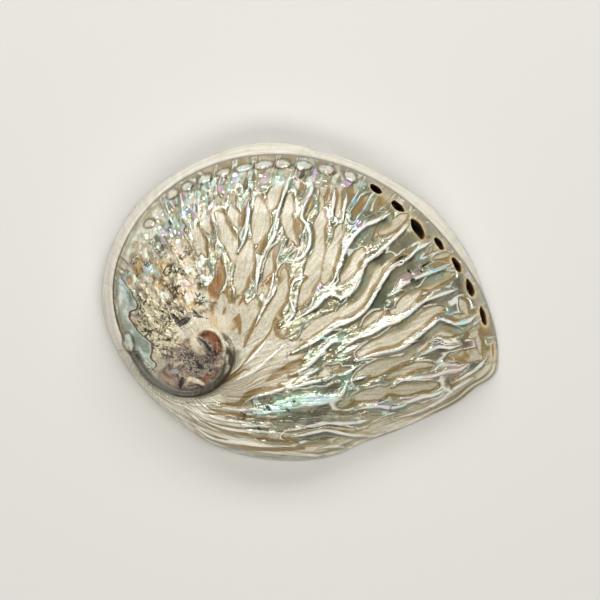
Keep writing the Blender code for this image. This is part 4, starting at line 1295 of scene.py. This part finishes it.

    # spire: mottled purple-brown whorl, flank of olive lines with painted shade towards its lower
    # side, red-brown hollow and a cream rim
    spireTone = node("Ramp", node("Noise", bent, 300.0, 4.0, 0.65, 0.8), [
        (0.36, "#2A211C"), (0.42, "#6E5D55"), (0.50, "#978479"), (0.56, "#B9A48E"),
        (0.62, "#E0D6C4"),
    ])
    blush = node("Ramp", node("Noise", place, 110.0, 2.0), [(0.45, 0.0), (0.62, 0.6)])
    spireTone = node("Blend", blush, spireTone, "#A08078", blend_type="OVERLAY")
    paleTone = node("Ramp", fineLines, [(0.3, "#C9BDA6"), (0.6, "#E9E1D0")])
    hatch = node("Ramp", node("Noise", bent, 520.0, 3.0, 0.6, 1.5), [
        (0.38, "#120E0C"), (0.44, "#55463E"), (0.50, "#8E8478"), (0.55, "#E3DACB"),
        (0.62, "#7F7468"),
    ])
    flankTone = node("Ramp", node("MULTIPLY_ADD", wobble, 0.5, "flankLines"), [
        (0.0, "#4E4A36"), (0.15, "#8C8871"), (0.35, "#B5B09A"), (0.6, "#EDE9DA"), (0.8, "#8F8A70"),
    ])
    redTone = node("Noise", place, 260.0, 3.0)
    ragged = node("MULTIPLY_ADD", wobble, 2.2, "fissure")
    tone = overlay(
        node, tone,
        ("palePart", 0.8, overlay(node, paleTone, (gold, 1.0, "#CDB27C"))),
        ("spireZone", 0.9, spireTone),
        ("brownPatch", 0.9, node("Ramp", crumbs, [(0.38, "#75604E"), (0.60, "#BEA48E")])),
        ("orangePatch", 0.8, "#A86E40"),
        ("bluePatch", 0.7, "#C4CDD2"),
        ("hatched", 0.9, hatch),
        # olive lines of the flank, with painted shade on its lower side
        ("darkFlank", 0.9, overlay(node, flankTone, ("flankDark", 0.68, "#3A301A"))),
        # thin brown line in the dent at the ring's edge: painted shade
        ("ringLine", 0.6, "#6F6243"),
        ("creamRim", 1.0, node("Ramp", cloud, [(0.35, "#CDB98C"), (0.55, "#F0E8D2")])),
        ("redHollow", 1.0, node("Ramp", redTone, [(0.35, "#5A3014"), (0.6, "#965E30")])),
        (node("Ramp", ragged, [(0.42, 0.0), (0.62, 0.9)]), 1.0, "#1E1B16"),
        ("holeRing", 0.45, "#C9B27E"),
        ("holeLip", 0.5, "#E6DCC2"),
        ("closedRing", 0.8, "#5F4B28"),
        ("closedPearl", 0.9, node("Blend", 0.6, pearlHues, "#F0ECDE")),
    )

    # how far the polished nacre shows: on the fronts, the strip and the closed holes
    shiny = node("MAXIMUM", nacreShow, node("MAXIMUM", "smoothStrip", "closedPearl"))
    shiny = node("MULTIPLY", shiny, node("SUBTRACT", 1.0, "sideBand"))
    shiny = node("MULTIPLY", shiny, node("MULTIPLY_ADD", "spireZone", -0.6, 1.0))

    # relief too fine for the mesh: buffed waves, striations, small facets, cracks and pits
    waves = node("Noise", node("Stretch", flow, (1.0, 1.0, 0.5)), 0.30, 2.0, 0.4)
    ripples = node("MULTIPLY", node("Noise", place, 420.0, 2.0), nacreShow)
    ripples = node("MULTIPLY", ripples, node("MULTIPLY_ADD", "marginZone", -0.8, 1.0))
    dents = node("Cells", place, 380.0, feature="SMOOTH_F1")
    pits = node("ADD", crumbs, node("Cells", place, 330.0, feature="SMOOTH_F1"))
    normal = []
    for height, amount, depth in (
        (waves, 1.0, 0.0012),
        (ripples, 1.0, 0.0005),
        (fineLines, node("SUBTRACT", 1.0, nacreShow), 0.00012),
        (dents, "facetZone", 0.0009),
        (node("SUBTRACT", pits, cracks), "wornZone", 0.0010),
        (bandLines, "sideBand", 0.00025),
    ):
        normal = [node("Bump", node("MULTIPLY", height, amount), depth, *normal)]
    film = node("MULTIPLY_ADD", phase, 260.0, 320.0)
    return {
        "Base Color": node("Gamma", tone, 1.16),
        # less metal under the painted crest highlight, so that it stays white
        "Metallic": node("MULTIPLY", shiny, node("MULTIPLY_ADD", paintedCrestHighlight, -0.32, 0.42)),
        "Roughness": node("MULTIPLY_ADD", "wornZone", 0.10, node("Blend", shiny, 0.36, 0.16)),
        "Specular IOR Level": 0.55,
        "IOR": 1.55,
        "Coat Weight": 0.35,
        "Coat Roughness": 0.08,
        "Coat IOR": 1.5,
        "Thin Film IOR": 1.56,
        "Thin Film Thickness": node("MULTIPLY", film, shiny),
        "Normal": normal[0],
    }


# natural nacre of the hollow: silvery, with green and pink clouds; its muscle scar is only in the
# shape
def innerFinish(node):
    place = node("Place")
    flow = node("Stretch", node("Attribute", attribute_name="growthFlow"), (1.0, 1.0, 0.3))
    clouds = node("Noise", place, 60.0, 4.0, 0.55, 1.2)
    clouds = node("Blend", 0.45, node("Noise", flow, 0.16, 4.0, 0.6, 0.6), clouds)
    hues = node("Ramp", clouds, [
        (0.32, "#D9BCD6"), (0.40, "#DAD3CA"), (0.46, "#B4DCC6"), (0.51, "#DCDACC"),
        (0.57, "#9FCFD8"), (0.62, "#D6DCC8"), (0.68, "#E0B4CE"),
    ])
    return {
        "Base Color": hues,
        "Metallic": 0.4,
        "Roughness": 0.24,
        "Coat Weight": 0.2,
        "Coat Roughness": 0.12,
        "Normal": node("Bump", node("Noise", place, 120.0, 3.0), 0.0006),
    }


# walls of the open holes: grown layers cut across, pink-brown near the top, with painted shade
# turning them dark brown deeper in
def holeFinish(node):
    layers = node("Noise", node("Stretch", node("Place"), (0.3, 0.3, 3.0)), 500.0, 3.0, 0.6)
    deep = node("MULTIPLY_ADD", "wallDepth", 0.28, node("MULTIPLY", layers, 0.3))
    tones = [(0.12, "#D2BA8E"), (0.36, "#A58250"), (0.70, "#6C4726"), (1.0, "#3C2616")]
    return {
        "Base Color": node("Ramp", deep, tones),
        "Roughness": 0.42,
        "Coat Weight": 0.15,
        "Coat Roughness": 0.2,
    }


finishes = [
    makeFinish("wheel_polished_nacre_over_beige_layer", outerFinish),
    makeFinish("natural_nacre_of_the_hollow", innerFinish),
    makeFinish("layered_hole_wall_shaded_deeper", holeFinish),
]
cutter = buildHoleCutter()
for finish in finishes:
    shell.data.materials.append(finish)
    cutter.data.materials.append(finish)
cutHoles(shell, cutter)
writeFields(shell)
shadeByFinish(shell)
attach(shell, "root")
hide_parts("shell")
print("shell cut:", len(shell.data.polygons), "faces")

studio = {
    "floorSide": 6.0,
    "floorTone": "#C9C8C5",
    "cameraHeight": 2.667,
    "cameraMiddle": (-0.00006, 0.00052),
    "lens": 400.0,
    "aimHeight": 0.02,
    "worldTone": "#5C5A4A",
    "worldPower": 0.26,
}


# matt pale paint of the floor
def floorPaint(node):
    return {"Base Color": studio["floorTone"], "Roughness": 0.8}


# pale floor under the shell
def buildFloor():
    half = studio["floorSide"] / 2
    mesh = bpy.data.meshes.new("studio_floor")
    corners = [(-half, -half, 0.0), (half, -half, 0.0), (half, half, 0.0), (-half, half, 0.0)]
    mesh.from_pydata(corners, [], [(0, 1, 2, 3)])
    mesh.materials.append(makeFinish("matt_pale_floor", floorPaint))
    floor = bpy.data.objects.new("studio_floor", mesh)
    scene.collection.objects.link(floor)
    return floor


# soft rectangular light that faces a point above the floor
def addLight(name, place, size, power, tone):
    data = bpy.data.lights.new(name, "AREA")
    data.shape = "RECTANGLE"
    data.size, data.size_y = size
    data.energy = power
    data.color = colour(tone)[:3]
    light = bpy.data.objects.new(name, data)
    light.location = place
    aim = np.array([0.0, 0.0, studio["aimHeight"]]) - np.array(place)
    tilt = math.atan2(math.hypot(aim[0], aim[1]), -aim[2])
    light.rotation_euler = (tilt, 0.0, math.pi - math.atan2(aim[0], -aim[1]))
    scene.collection.objects.link(light)


buildFloor()
addLight("high_softbox", (0.0, 0.80, 0.75), (1.2, 0.25), 9.0, "#FFFFFF")
addLight("front_softbox", (0.0, 0.42, 1.60), (1.6, 0.30), 12.0, "#FFFDF8")
addLight("low_softbox", (0.0, -0.80, 1.30), (1.4, 0.35), 14.6, "#FFFEF8")
addLight("left_fill", (-1.0, 0.2, 0.7), (0.3, 0.9), 4.0, "#F4F8FF")

world = bpy.data.worlds.new("soft_studio")
world.use_nodes = True
sky = world.node_tree.nodes["Background"]
sky.inputs["Color"].default_value = colour(studio["worldTone"])
sky.inputs["Strength"].default_value = studio["worldPower"]
scene.world = world

cameraData = bpy.data.cameras.new("front_camera")
cameraData.lens = studio["lens"]
cameraData.sensor_width = 36.0
cameraData.clip_end = 20.0
camera = bpy.data.objects.new("front_camera", cameraData)
camera.location = (*studio["cameraMiddle"], studio["cameraHeight"])
scene.collection.objects.link(camera)
scene.camera = camera
scene.view_settings.view_transform = "Standard"
